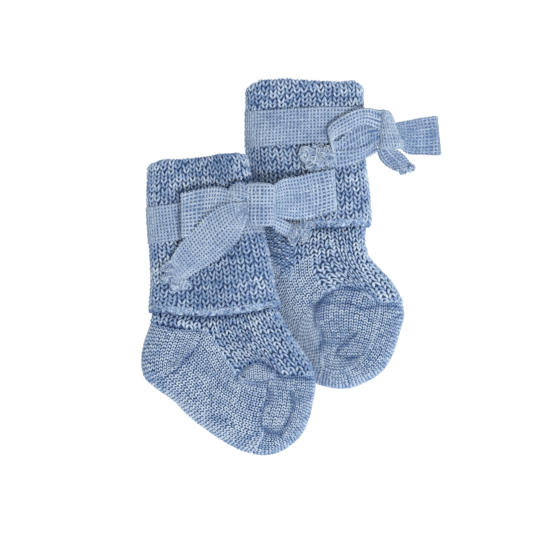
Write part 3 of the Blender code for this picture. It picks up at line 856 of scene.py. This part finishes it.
def add_shade_skin(bootie, guides):
    """Closed inner skin of the whole tube just under the stitches, coloured dark as painted shade between
    them.
    """
    yarns = Yarns()
    patch = Patch(guides, bootie)
    for side in (1, -1):
        def under_creases(x, y, above, side=side):
            """Place on the fabric, lower where a crease is."""
            return bootie.place(x, y, above - SHADE_SKIN_DROP * bootie.shade(x, y), side)

        backing(yarns, patch, under_creases, high=-0.95, low=-1.5, step=1.1, tone=SHADE_SKIN_TONE)
    shown(yarns, bootie.label, "shade_skin", bootie.body, YARN, part="sole")


def cast_on(yarns, patch, surface):
    """Soft, bumpy edge of loops along the start of a patch, and loose fibres on it."""
    width, length = patch.size()
    steps = 6
    sink, sink_run = 0.4, 5.0  # the edge lies lower near both sides
    # Loops are painted lighter the higher they stand and darker low down: painted highlight and shade
    paler, level = 0.8, -0.38  # colour of the loops by how high they stand
    for per_mm, thick, long, rise in ((4.6, 0.47, 2.3, 0.85), (7.0, 0.11, 2.6, 1.25)):
        many = round(width * per_mm)
        t = np.linspace(-0.5, 0.5, steps)[None, :]
        u0 = RNG.uniform(0.0, 1.0, (many, 1))
        v0 = RNG.uniform(-1.3, 1.7, (many, 1))
        turn = RNG.normal(size=(many, 1)) * 0.8 + np.where(RNG.uniform(size=(many, 1)) < 0.5, 0.3, 2.8)
        run = long * RNG.uniform(0.6, 1.1, (many, 1))
        curl = 0.9 * (t**2 - 0.25) * RNG.normal(size=(many, 1))
        u = u0 + (np.cos(turn) * run * t - np.sin(turn) * curl) / width
        v = (v0 + np.sin(turn) * run * t + np.cos(turn) * curl) / length
        ends = sink * (1.0 - smoothstep(np.minimum(u, 1.0 - u) * width / sink_run))
        high = -0.15 + rise * np.cos(math.pi * t) * RNG.uniform(0.4, 1.15, (many, 1)) - ends
        flat = patch.at(u.ravel(), v.ravel())
        at, over = (surface(flat[:, 0], flat[:, 1], high.ravel() + more) for more in (0.0, PROBE))
        heather = np.repeat(0.6 + 1.2 * RNG.normal(size=(many, 1)), steps, 1)
        tone = np.stack((heather, paler * high + level, np.zeros((many, steps))), axis=-1)
        shape = (many, steps, 3)
        tubes(yarns, at.reshape(shape), unit(over - at).reshape(shape), thick, tone, tall=1.0)


def add_cuff(bootie, guides, fold, bare, painted_dim):
    """Turned-down ribbed cuff with its fold and its fuzzy cast-on edge, pressed bare under the ribbon."""
    patch = Patch(guides, bootie)
    for side, piece, part in ((1, "cuff", None), (-1, "cuff_under", "cuff")):
        yarns = Yarns()
        surface = folded_over(bootie, side, fold)
        knit(yarns, patch, surface, "rib", side > 0, bare, painted_dim=painted_dim, contrast=CUFF_CONTRAST)
        backing(yarns, patch, surface, high=-0.6, low=-1.05, step=1.6, grow=-0.5, tone=SHADE_SKIN_TONE)
        cast_on(yarns, patch, surface)
        shown(yarns, bootie.label, piece, bootie.body, YARN, part)


def add_band(bootie, guides):
    """Flat ribbon round the cuff."""
    patch = Patch(guides, bootie)
    cloth, threads = Yarns(), Yarns()
    for side in (1, -1):
        surface = tight(bootie, side)
        backing(cloth, patch, surface, high=-0.05, low=-0.35, step=1.2)
        fitted = patch.fitted(surface)
        around, width = fitted.size()

        def spot(u, v, above, face=surface, even=fitted):
            """Place at shares of the way round and of the width."""
            flat = even.at(u, v)
            return face(flat[:, 0], flat[:, 1], above)

        weave(threads, spot, around, width, shade=lambda u, v: BAND_PAINTED_DIM)
    woven(cloth, threads, bootie.label, "ribbon_band", bootie.body)


def add_knot(bootie, centre, size, lean=0.0, taper=0.0, lead=None):
    """Ribbon drawn tight round the root of the bow, narrower at one end, and the ribbon that leads to it."""
    yarns = Yarns()
    if lead:
        lead.sheet(yarns)
        weave(yarns, lead.spot, *lead.patch.size(), shade=lead.shade)
    cx, cy, cz = centre
    rx, ry, rz = size
    flare, blunt, round_off = 0.10, 7.0, 0.35
    crease, creases = 0.22, 6

    def spot(u, v, above):
        """Place at shares of the way round the knot and of its length, rounded off at both ends."""
        turn = math.pi * (2.0 * u - 0.5)
        far = 2.0 * v - 1.0
        waist = (0.94 + flare * far**2) * np.maximum(1.0 - np.abs(far) ** blunt, 0.0) ** round_off + 0.02
        waist = waist * (1.0 - taper * (far + 1.0) / 2.0)
        ripple = crease * np.sin(2.0 * math.pi * creases * u + 2.0 * far)
        x = cx - (rx + above + ripple) * np.cos(turn) * waist + lean * far
        z = cz + (rz + above + ripple) * np.sin(turn) * waist
        return np.stack((x, cy + ry * far, settled(z)), axis=-1)

    cols, rows = 44, 20
    u, v = shares(np.linspace(0, 1, cols), np.linspace(0.01, 0.99, rows))
    # The knot's inner cloth is coloured dark as painted shade seen through its weave
    slab(yarns, spot(u, v, -0.14), spot(u, v, -0.7), cols, rows)
    weave(yarns, spot, math.pi * (rx + rz), 2.0 * ry)
    shown(yarns, bootie.label, "bow_knot", bootie.body, RIBBON)


def add_ribbon(label, piece, ribbons, held, rests_on, flat, ends=(), **frayed):
    """Loop or tail of a bow, with its frayed ends, on the body of its own name."""
    cloth, threads = Yarns(), Yarns()
    for ribbon in ribbons:
        ribbon.sheet(cloth)
        weave(threads, ribbon.spot, *ribbon.patch.size(), shade=ribbon.shade)
    for centre, size in ends:
        froth(threads, centre, size, **frayed)
    woven(cloth, threads, label, piece, f"{label}_{piece}")


def over_cuff(points):
    """(x, y, height above the ribbon round the upper cuff) to (x, y, z)."""
    x, y, above = np.array(points, float).T
    return np.stack((x, y, lifted(x, y, np.full(len(x), BOW_LEVEL)) + above), axis=1)


def looped(low_a, low_b, high_a, high_b, puff, painted_dim=0.0):
    """Ribbon that goes out along its lower layer, turns over and comes back as its upper layer."""
    a, b = np.concatenate((low_a, high_a[::-1])), np.concatenate((low_b, high_b[::-1]))
    middle = (a + b) / 2.0
    middle[len(low_a):-1, 2] += puff
    return Ribbon([(0.0, a), (0.5, middle), (1.0, b)], is_loop=True, painted_dim=painted_dim)


def tail(a, b, rise, painted_dim=0.0):
    """Ribbon between two edges, arched up in the middle."""
    middle = (np.asarray(a) + np.asarray(b)) / 2.0
    middle[:, 2] += rise
    return Ribbon([(0.0, a), (0.5, middle), (1.0, b)], painted_dim=painted_dim)


# Creases of each bootie as (points, width, depth), and its swellings as (centre, radii, turn, height)
FRONT_CREASES = (
    (((-24.4, -47.8), (-21.8, -44.8), (-19.2, -42.2), (-13.4, -41.4), (-10.8, -43.3), (-5.6, -47),
     (2.2, -47.4), (9.5, -48.5)), 1.4, 2.3),
    (((-23.4, -48.7), (-15.6, -50.4), (-6.1, -47.8)), 1, 1.9),
    (((-10.4, -52.2), (-10, -57), (-12.6, -61.7), (-13.4, -65.2), (-13, -69.1), (-9.1, -72.1),
     (-4.6, -72.4)), 1.2, 2.3),
    (((-0.4, -54.3), (0.2, -59.5), (-1.3, -65.2), (-3.5, -69.5), (-5.6, -72.5)), 1, 2.2),
    (((-62.6, -50.2), (-57.4, -48.8), (-52.2, -46.4), (-47.6, -41.6), (-43.4, -37.4)), 1.3, 2),
    (((-43.4, -37.4), (-40.6, -34.4), (-38.2, -29.6)), 1, 1.1),
    (((-59, -52), (-52, -49.6), (-45.5, -45.2)), 0.8, 1),
    (((-61, -24), (-50.7, -26.6), (-40.3, -27.9)), 1.3, 1.8),
    (((-62, -19), (-50, -20.6), (-36, -22), (-26, -20.6), (-14, -18.4), (-6, -16.6)), 1.5, 1.8),
)
FRONT_LUMPS = (
    ((-54, -37), (8, 8), 0, 0.8),
    ((-15, -46.4), (6, 2.6), 0, 1.6),
    ((-6, -60), (4, 8), 0, 0.8),
    ((-14, -37), (12, 3.6), -18, 1.2),
    ((4.5, -56), (3, 8), 0, 0.5),
)
BACK_CREASES = (
    (((10, -16.7), (14.7, -12.8), (17.8, -10.6), (22.3, -9.3), (27.7, -9.7), (31.6, -10.2), (35.1, -12.3),
     (38.5, -16.7), (43.7, -16.7), (48.1, -18.2)), 1.3, 2.3),
    (((11.7, -15.8), (23.8, -15.8), (31.2, -18.2), (35.7, -17.5)), 0.9, 1.5),
    (((10.8, -16.7), (10, -20.6), (10.4, -24.5), (12.9, -29.2), (12, -36)), 1.3, 2.2),
    (((27.7, -29.2), (24.7, -31.6), (21.2, -34.4), (19.3, -37.5), (21.7, -39.2), (28.6, -39.2)), 0.8, 2.2),
    (((-18, 18), (0, 17.4), (16, 17.4), (33, 18)), 1.5, 1.8),
)
BACK_LUMPS = (
    ((24, -23), (8, 6), 0, 1.2),
    ((22, -6), (12, 3.4), -14, 1.4),
    ((24, -12.8), (9, 1.8), 0, 1.2),
)

# Line over which each cuff is turned down
FRONT_FOLD = ((-66, 40), (-62.5, 41.4), (-60, 42.9), (-57, 44), (-54, 44.4), (-47, 44.6), (-40, 45.3),
    (-34, 46.1), (-29, 46.7), (-24, 46.8), (-20, 46.4), (-16, 45.6))
BACK_FOLD = ((-24, 75), (-19, 75.8), (-16.6, 77.3), (-14, 78.6), (-9, 79), (-2, 79.3), (6, 78.9),
    (12, 78.3), (20, 78.1), (26, 78.4), (29, 77.2), (34, 75.4))

front = Bootie("front", FRONT_OUTLINE, lifted, -14.0, FRONT_LUMPS, FRONT_CREASES)
back = Bootie("back", BACK_OUTLINE, pressed, 22.0, BACK_LUMPS, BACK_CREASES)

# Guide lines along the wales of each area: the share of the way across, the points, and whether the
# line runs along the side of the tube
FRONT_CUFF = (
    (0, ((-59.6, -18.4), (-59.6, 0), (-59.8, 20), (-59.6, 40), (-59.4, 58)), True),
    (0.5, ((-36.4, -19.8), (-37.2, 0), (-38.6, 20), (-40, 38), (-41.4, 61)), False),
    (1, ((-7.6, -17), (-11.8, 0), (-16.8, 20), (-20.6, 38), (-24.2, 62)), True),
)
FRONT_SHADE_SKIN = (
    (0, ((-59.6, 38), (-59.6, 10), (-59.4, -14), (-62, -28), (-64.4, -41), (-57.8, -51.4), (-43.6, -63.8),
     (-26.2, -75.7), (-13.5, -80.1)), True),
    (1, ((-20.6, 38), (-14, 10), (-8, -14), (-1, -27.4), (7, -43), (9, -54), (5.4, -68), (-4.6, -78.2),
     (-11.5, -80.3)), True),
)
FRONT_LEG = (
    (0, ((-59.4, -8), (-59.6, -16), (-60.8, -24.4)), True),
    (0.5, ((-48.6, -8), (-48.8, -18), (-49.6, -26.6)), False),
    (1, ((-34.9, -8), (-34.9, -18), (-36, -28.8)), False),
)
FRONT_HEEL = (
    (0, ((-60.8, -24.6), (-63.4, -33), (-64.4, -41), (-63, -48), (-60.8, -50.8)), True),
    (0.5, ((-50, -26.8), (-51.6, -33), (-53, -39.6), (-54.4, -46.2)), False),
    (1, ((-38.6, -27.2), (-41.2, -32.6), (-44.2, -37.4), (-47.6, -42)), False),
)
FRONT_SOLE = (
    (0, ((-60.6, -50.2), (-57.2, -51.9), (-50.8, -56.6), (-43.6, -63.8), (-36.4, -69.1), (-26.2, -75.7),
     (-17.4, -79.5)), True),
    (0.3, ((-54.6, -46.2), (-47.5, -53), (-41, -59.5), (-34, -65.5), (-24.5, -71), (-12, -73.4)), False),
    (0.55, ((-47.7, -41.5), (-41, -48.5), (-35, -55), (-28.6, -60.6), (-20.5, -65), (-11.6, -66.6)), False),
    (0.8, ((-43, -35.4), (-37.5, -43), (-31.5, -50), (-25.5, -55.2), (-18.5, -58.4), (-10.4, -59.8)),
     False),
    (1, ((-37.4, -26.6), (-32.8, -32), (-29, -38.6), (-24.2, -44.8), (-21, -48.4), (-15.6, -50.2),
     (-8.8, -50.4)), False),
)
FRONT_INSTEP = (
    (0, ((-35.6, -8), (-35.6, -22), (-34.4, -31), (-30.4, -38.6), (-24.2, -47.2)), False),
    (0.42, ((-24.2, -8), (-23.6, -21), (-22, -29.5), (-18.2, -36), (-13.4, -41.4)), False),
    (0.72, ((-16, -8), (-14.6, -20), (-11.6, -28), (-7, -36.5), (-2.4, -46.8)), False),
    (1, ((-10, -8), (-6.4, -18.2), (-2.2, -25.4), (2.4, -33.6), (8.9, -47.6)), True),
)
FRONT_BULGE = (
    (0, ((-23.2, -45.4), (-23.2, -49.6)), False),
    (0.5, ((-14.8, -41.2), (-15, -51.2)), False),
    (1, ((-6.8, -45.4), (-6.8, -49.2)), False),
)
FRONT_TONGUE = (
    (0, ((-9, -46), (-10.4, -52), (-10.5, -57.5), (-12.4, -62), (-13.2, -66), (-12.6, -70.4), (-9.6, -73)),
     False),
    (1, ((1.4, -47.4), (0.6, -54), (0.6, -59.5), (-0.7, -64.5), (-2.6, -68.5), (-4.6, -71.7), (-6, -73.4)),
     False),
)
FRONT_TOE = (
    (0, ((0.8, -47.2), (0.1, -54), (0.1, -60), (-1.2, -66), (-3.6, -70.2), (-7, -72.3), (-11.2, -71.8),
     (-13.6, -70)), False),
    (1, ((8.6, -46.6), (9.4, -50.5), (8.2, -58), (6.5, -65.2), (3.8, -70.9), (-0.2, -75.3), (-5.9, -78.9),
     (-16.6, -79.7)), True),
)
BACK_CUFF = (
    (0, ((-17, 19.4), (-16.9, 35), (-16.9, 55), (-16.9, 75), (-16.9, 91)), True),
    (0.5, ((8, 18.4), (7.4, 35), (6.4, 55), (5.8, 75), (5.6, 93)), False),
    (1, ((31.4, 19.2), (30.4, 35), (28.2, 55), (28, 75), (28, 93)), True),
)
BACK_SHADE_SKIN = (
    (0, ((-16.9, 70), (-17, 40), (-17.2, 16), (-19.6, -5), (-19.6, -17), (-10.4, -32.2), (5, -46.6),
     (18.6, -52.3), (24, -52.5)), True),
    (1, ((28, 70), (29.6, 40), (31.2, 14), (36.4, -0.6), (46, -12.4), (47.6, -24), (42, -40.6),
     (31.2, -50.1), (25.6, -52.3)), True),
)
BACK_LEG = (
    (0, ((1, 28), (1, 14), (0.6, 0.5)), False),
    (1, ((7.4, 28), (7.4, 14), (7.4, 3)), False),
)
BACK_WRONG_SIDE = (
    (0, ((-17, 20), (-17.4, 10), (-18.4, -1)), True),
    (0.6, ((-7, 20), (-7, 10), (-7.4, -2.6)), False),
    (1, ((1.4, 20), (1.2, 10), (0, -6)), False),
)
BACK_HEEL = (
    (0, ((-18.4, -0.4), (-20, -8), (-20, -15.6), (-17.9, -22)), True),
    (0.5, ((-12, 0.2), (-12.6, -6), (-13, -12), (-13.6, -18)), False),
    (1, ((-5, 0.2), (-5.4, -4), (-6.8, -8), (-8.8, -12.6)), False),
)
BACK_SOLE = (
    (0, ((-17.6, -22.6), (-10.4, -32.2), (-2.8, -40.2), (5, -46.6), (12.2, -50.7)), True),
    (0.35, ((-12, -16.6), (-5.5, -25.5), (2, -34), (7.6, -40), (13.8, -43.8)), False),
    (0.7, ((-4.8, -4), (-0.5, -14.5), (4.4, -24), (8.8, -31), (13.6, -36.4)), False),
    (1, ((8.4, 5), (8.8, -2.2), (11, -6.4), (14, -9.6), (12.4, -14.2), (10.6, -19), (11.2, -24),
     (12.8, -29)), False),
)
BACK_INSTEP = (
    (0, ((7.4, 28), (7.4, 13), (7.6, 3), (8.6, -2.6), (11.2, -7), (15.6, -11.6)), False),
    (0.45, ((19.2, 28), (19.5, 12), (20, 4), (22, -2.6), (26.4, -9)), False),
    (0.74, ((26, 28), (26.6, 10), (28, 3.6), (32, -5), (37.6, -15.8)), False),
    (1, ((31.2, 28), (31.2, 9), (32.6, 4.4), (39, -3.2), (43.6, -8.4), (47.4, -15.6)), True),
)
BACK_INNER_TOE = (
    (0, ((13, -11), (10.2, -19), (10.6, -25), (12.4, -30), (12.6, -36), (12.2, -43.6)), False),
    (0.33, ((20.4, -7.8), (18.4, -17), (18, -26), (18.6, -34), (18, -46)), False),
    (0.66, ((30.4, -8.8), (28.8, -18), (27.4, -26), (25.8, -34), (23.4, -45.6)), False),
    (1, ((38.8, -14.2), (37.8, -22), (36, -29.5), (32.6, -37), (27.4, -43.4)), False),
)
BACK_TOE = (
    (0, ((38.2, -15), (37, -24), (34.8, -31.6), (30.8, -38.6), (25, -43.4), (18.6, -45.4), (13.2, -43.6)),
     False),
    (1, ((47.6, -15.2), (48.3, -21), (47.1, -26), (45.3, -32.4), (42.8, -39.2), (39.6, -44.4),
     (31.2, -50.1), (20.8, -52.6), (11.4, -50.6)), True),
)
FRONT_BAND = (
    (0, ((-59.7, 9.8), (-59.7, 25.4)), True),
    (0.4, ((-43, 12), (-43.6, 28.4)), False),
    (1, ((-13.9, 14), (-17.4, 30.2)), True),
)
BACK_BAND = (
    (0, ((-16.9, 51.4), (-16.9, 67)), True),
    (0.5, ((6.2, 53), (6, 68.8)), False),
    (1, ((28.3, 53.4), (28, 69.2)), True),
)

# Strip of each cuff that the ribbon presses bare: the ends of its lower edge, and its height
FRONT_BARE = ((-59.7, 9.8), (-13.9, 14.0), 15.8)
BACK_BARE = ((-16.9, 51.4), (28.3, 53.4), 15.7)

# Bows, as (x, y, z) points from the knot outwards: the two edges of each tail, and of the lower and
# then of the upper layer of each loop. In the first three z is the height above the upper cuff's ribbon.
BOW_LEVEL = MID_HEIGHT + LEG_HALF + BAND_LAYER + 0.5
FRONT_LOOP_LEFT = (
    ((-19, 20, 1), (-24, 17, 0.7), (-31, 14, 0.6), (-38, 12.8, 0.6), (-46.6, 13, 0.9)),
    ((-19, 27.6, 1), (-23.5, 30.6, 0.8), (-30, 33.2, 0.6), (-38, 33.2, 0.6), (-46.8, 31.6, 0.9)),
    ((-19, 20, 3), (-24, 17, 3.4), (-31, 14, 3.2), (-38, 12.8, 2.8), (-47.4, 12.8, 2.2)),
    ((-19, 27.6, 3), (-23.5, 30.9, 3.6), (-30, 33.8, 3.2), (-38, 33.6, 2.8), (-47.6, 31.4, 2.2)),
)
FRONT_INNER_FOLD = (
    ((-18.4, 27.6, 3.4), (-22, 28.2, 3.6), (-26.6, 30.6, 2.6)),
    ((-18.4, 34.6, 2), (-22.6, 36.2, 2.4), (-27, 34, 1.4)),
)
FRONT_TAIL_LEFT = (
    ((-19.4, 22, 5.2), (-21.4, 15.4, 5), (-25.1, 9, 3.6), (-30.6, 4.4, 2), (-39, -1, 0.6), (-44, -4, 0.2),
     (-49.4, -9.4, 0)),
    ((-19.4, 27.6, 5.2), (-28.6, 26.8, 5.4), (-36.8, 21.9, 5.2), (-42.6, 15.8, 4.8), (-46.4, 12, 3.2),
     (-49.8, 7.6, 1.2), (-55, -2.6, 0)),
)
FRONT_LOOP_RIGHT = (
    ((-9.4, 22.4, 27.6), (-4, 20.8, 23.4), (3, 20.4, 20), (10, 21.6, 19), (18.4, 24, 18.9)),
    ((-9.4, 33.6, 27.6), (-5, 37, 23.6), (3, 38.4, 20), (10, 40.2, 19), (17.4, 41.8, 18.9)),
    ((-9.4, 22.4, 31.4), (-3.6, 20.8, 27.4), (3, 20.2, 23.4), (10, 21.4, 21.2), (19.2, 24.2, 20.2)),
    ((-9.4, 33.8, 31.4), (-4.6, 37.2, 27.4), (3, 38.8, 23.4), (10, 40.6, 21.2), (18.2, 42, 20.2)),
)
FRONT_TAIL_RIGHT = (
    ((-9.6, 17.8, 28.6), (-6, 14.8, 25.6), (-2, 13.2, 22), (1.5, 13.2, 20.4)),
    ((-9.6, 22.6, 29.2), (-5, 21, 26.6), (-1, 19, 22.8), (2.4, 17.4, 20.8)),
)
BACK_LOOP_LEFT = (
    ((38, 54, 13), (33, 50.6, 15.4), (27, 46.6, 18.4), (20.6, 45.8, 19)),
    ((38, 63, 13), (32, 63, 16.4), (25, 59.4, 18.8), (18.6, 54.2, 19.2)),
    ((38, 59, 15.4), (31, 61.4, 19.2), (24.6, 58.4, 21.4), (17.6, 54.2, 20.8)),
    ((38.6, 67.6, 14.4), (31, 68.4, 18.4), (23, 65.6, 20.6), (15.6, 58.8, 20.4)),
)
BACK_TAIL_LEFT = (
    ((36.6, 49.6, 12.6), (29, 45.4, 17.8), (20, 42.6, 19.4), (11, 42.6, 19.2)),
    ((36.6, 55.4, 13), (30, 51.6, 18), (21, 50.4, 19.6), (10, 51, 19.2)),
)
BACK_LOOP_RIGHT = (
    ((45.6, 53.6, 7), (50, 49.4, 3.2), (57, 48.8, 1.2), (64.4, 48.8, 0.9)),
    ((45, 62, 7), (51, 63.2, 3.2), (57, 64.2, 1.2), (62.8, 64.8, 0.9)),
    ((45.6, 53.6, 10), (50, 49.6, 6.2), (57, 49, 3.8), (64.8, 49.2, 2.3)),
    ((45, 62.2, 10), (51, 63.4, 6.4), (57, 64.6, 4), (63.2, 65.2, 2.3)),
)
BACK_TAIL_RIGHT = (
    ((37, 51.4, 4.6), (38.6, 46.6, 3.2), (42, 43.4, 2), (47.6, 41, 1.4)),
    ((43.4, 51.6, 5.2), (47.6, 49.4, 3.6), (50.4, 46.6, 2.4), (52.8, 43.4, 1.6)),
)
BACK_LEAD = (
    ((30.4, 54.6, 12.6), (33, 54.4, 11.9), (36, 54.8, 10.4), (40, 56, 9)),
    ((30, 66.4, 12.6), (32.6, 65.6, 11.9), (36, 64, 10.4), (40, 62, 9)),
)

# Every knitted area of each bootie: its pieces of knitting, their guides and how much darker each is painted,
# a painted shade (a painted light where negative)
AREAS = (
    (front, {"leg": [("rib", FRONT_LEG, 0.0)],
             "heel": [("plain", FRONT_HEEL, 0.14)],
             "sole": [("plain", FRONT_SOLE, 0.10)],
             "instep": [("rib", FRONT_INSTEP, 0.04), ("plain", FRONT_BULGE, 0.06)],
             "toe": [("plain", FRONT_TONGUE, 0.09), ("plain", FRONT_TOE, 0.21)]}),
    (back, {"leg": [("rib", BACK_LEG, 0.0), ("purl", BACK_WRONG_SIDE, 0.0)],
            "heel": [("plain", BACK_HEEL, 0.02)],
            "sole": [("plain", BACK_SOLE, 0.05)],
            "instep": [("rib", BACK_INSTEP, -0.02)],
            "toe": [("plain", BACK_INNER_TOE, 0.17), ("plain", BACK_TOE, 0.15)]}),
)
for bootie, pieces in AREAS:
    for piece, patches in pieces.items():
        add_knit(bootie, piece, patches)
add_shade_skin(front, FRONT_SHADE_SKIN)
add_shade_skin(back, BACK_SHADE_SKIN)
# The last value of each cuff is a painted shade on it, a painted light where negative
add_cuff(front, FRONT_CUFF, FRONT_FOLD, FRONT_BARE, 0.01)
add_cuff(back, BACK_CUFF, BACK_FOLD, BACK_BARE, -0.04)
add_band(front, FRONT_BAND)
add_band(back, BACK_BAND)

# Bow of the upper bootie
left_loop = looped(*map(over_cuff, FRONT_LOOP_LEFT), 0.8)
inner_fold = tail(*map(over_cuff, FRONT_INNER_FOLD), 1.6)
add_ribbon("front", "loop_left", [left_loop, inner_fold], "folded", ["front_cuff"], (16.7, 62.0))
left_tail = tail(*map(over_cuff, FRONT_TAIL_LEFT), (0.0, 0.9, 1.0, 0.9, 0.8, 0.6, 0.0))
centres = over_cuff(((-53.4, -0.4, 0), (-53.2, -5.0, 0), (-50.4, -8.6, 0), (-46.4, -7.4, 0)))
ends = [(centre, (r, r, 1.4)) for centre, r in zip(centres, (2.2, 2.4, 2.2, 2.0))]
add_ribbon("front", "tail_left", [left_tail], "draped", ["front_loop_left", "front_cuff"], (15.0, 44.0), ends,
           count=56)
add_ribbon("front", "loop_right", [looped(*FRONT_LOOP_RIGHT, 0.9)], "folded", ["back_cuff"], (16.7, 62.0))
add_ribbon("front", "tail_right", [tail(*FRONT_TAIL_RIGHT, 1.0)], "draped", ["back_cuff"], (10.0, 10.0),
           [((0.5, 14.4, 20.8), (2.9, 4.4, 2.8)), ((5.0, 15.4, 20.8), (2.8, 4.9, 2.8))],
           count=120, radius=0.36, pale=-0.5, fray=0.2)
add_knot(front, (-14.0, 26.6, 31.6), (6.6, 9.2, 4.6))

# Bow of the lower bootie
add_ribbon("back", "loop_left", [looped(*BACK_LOOP_LEFT, 1.0)], "folded", ["back_cuff"], (11.0, 45.0))
add_ribbon("back", "tail_left", [Ribbon(zip((0.0, 1.0), BACK_TAIL_LEFT))], "draped", ["back_cuff"],
           (10.0, 26.0), [((15.0, 47.0, 19.4), (3.6, 4.4, 1.8)), ((9.6, 46.8, 19.4), (4.0, 5.0, 1.8)),
                          ((6.0, 48.6, 19.4), (2.6, 3.0, 1.8))], count=110)
# These two pieces are painted darker, a painted shade
add_ribbon("back", "loop_right", [looped(*BACK_LOOP_RIGHT, 0.7, painted_dim=0.14)], "folded", ["floor"], (15.0, 42.0))
add_ribbon("back", "tail_right", [tail(*BACK_TAIL_RIGHT, 1.0, painted_dim=0.10)], "draped", ["floor"], (10.0, 14.5),
           [((x, y, 2.2), (1.7, 1.6, 1.2)) for x, y in ((46.0, 43.2), (48.6, 41.8), (51.6, 43.0))], count=36)
add_knot(back, (41.4, 59.4, 8.6), (5.9, 8.4, 6.0), lean=-1.8, taper=0.5,
         lead=Ribbon(zip((0.0, 1.0), BACK_LEAD)))

# Floor, light and camera
bpy.ops.mesh.primitive_plane_add(size=6.0, location=(0.0, 0.0, -0.0002))
floor = bpy.context.object
floor.name = "floor"
white = bpy.data.materials.new("white_paper")
white.use_nodes = True
paper = white.node_tree.nodes["Principled BSDF"]
for label, value in (("Base Color", (0.14, 0.14, 0.14, 1.0)), ("Roughness", 1.0), ("Specular IOR Level", 0.0),
                     ("Emission Color", (1.0, 1.0, 1.0, 1.0)), ("Emission Strength", 0.94)):
    paper.inputs[label].default_value = value
floor.data.materials.append(white)

world = bpy.data.worlds.new("studio")
world.use_nodes = True
sky = world.node_tree.nodes["Background"]
sky.inputs["Color"].default_value = (1.0, 1.0, 1.0, 1.0)
sky.inputs["Strength"].default_value = 0.67
bpy.context.scene.world = world

lamp = bpy.data.lights.new("key", "AREA")
lamp.size = 0.10
lamp.energy = 8.0
key = bpy.data.objects.new("key", lamp)
key.location = (0.44, -0.33, 1.1)
key.rotation_euler = (-Vector(key.location)).to_track_quat("-Z", "Y").to_euler()
bpy.context.scene.collection.objects.link(key)

# Width seen at the height of the cuffs, and the middle of the view
VIEW_WIDTH, VIEW_X, VIEW_Y = 230.8, -11.0, 0.0
CAMERA_HEIGHT, CUFF_HEIGHT = 2400.0, 15.0
SENSOR = 36.0
lens = bpy.data.cameras.new("camera")
lens.sensor_width = SENSOR
lens.lens = SENSOR * (CAMERA_HEIGHT - CUFF_HEIGHT) / VIEW_WIDTH
lens.clip_start = 0.01
lens.clip_end = 20.0
camera = bpy.data.objects.new("camera", lens)
camera.location = (VIEW_X * MM, VIEW_Y * MM, CAMERA_HEIGHT * MM)
bpy.context.scene.collection.objects.link(camera)
bpy.context.scene.camera = camera
bpy.context.scene.view_settings.view_transform = "Standard"
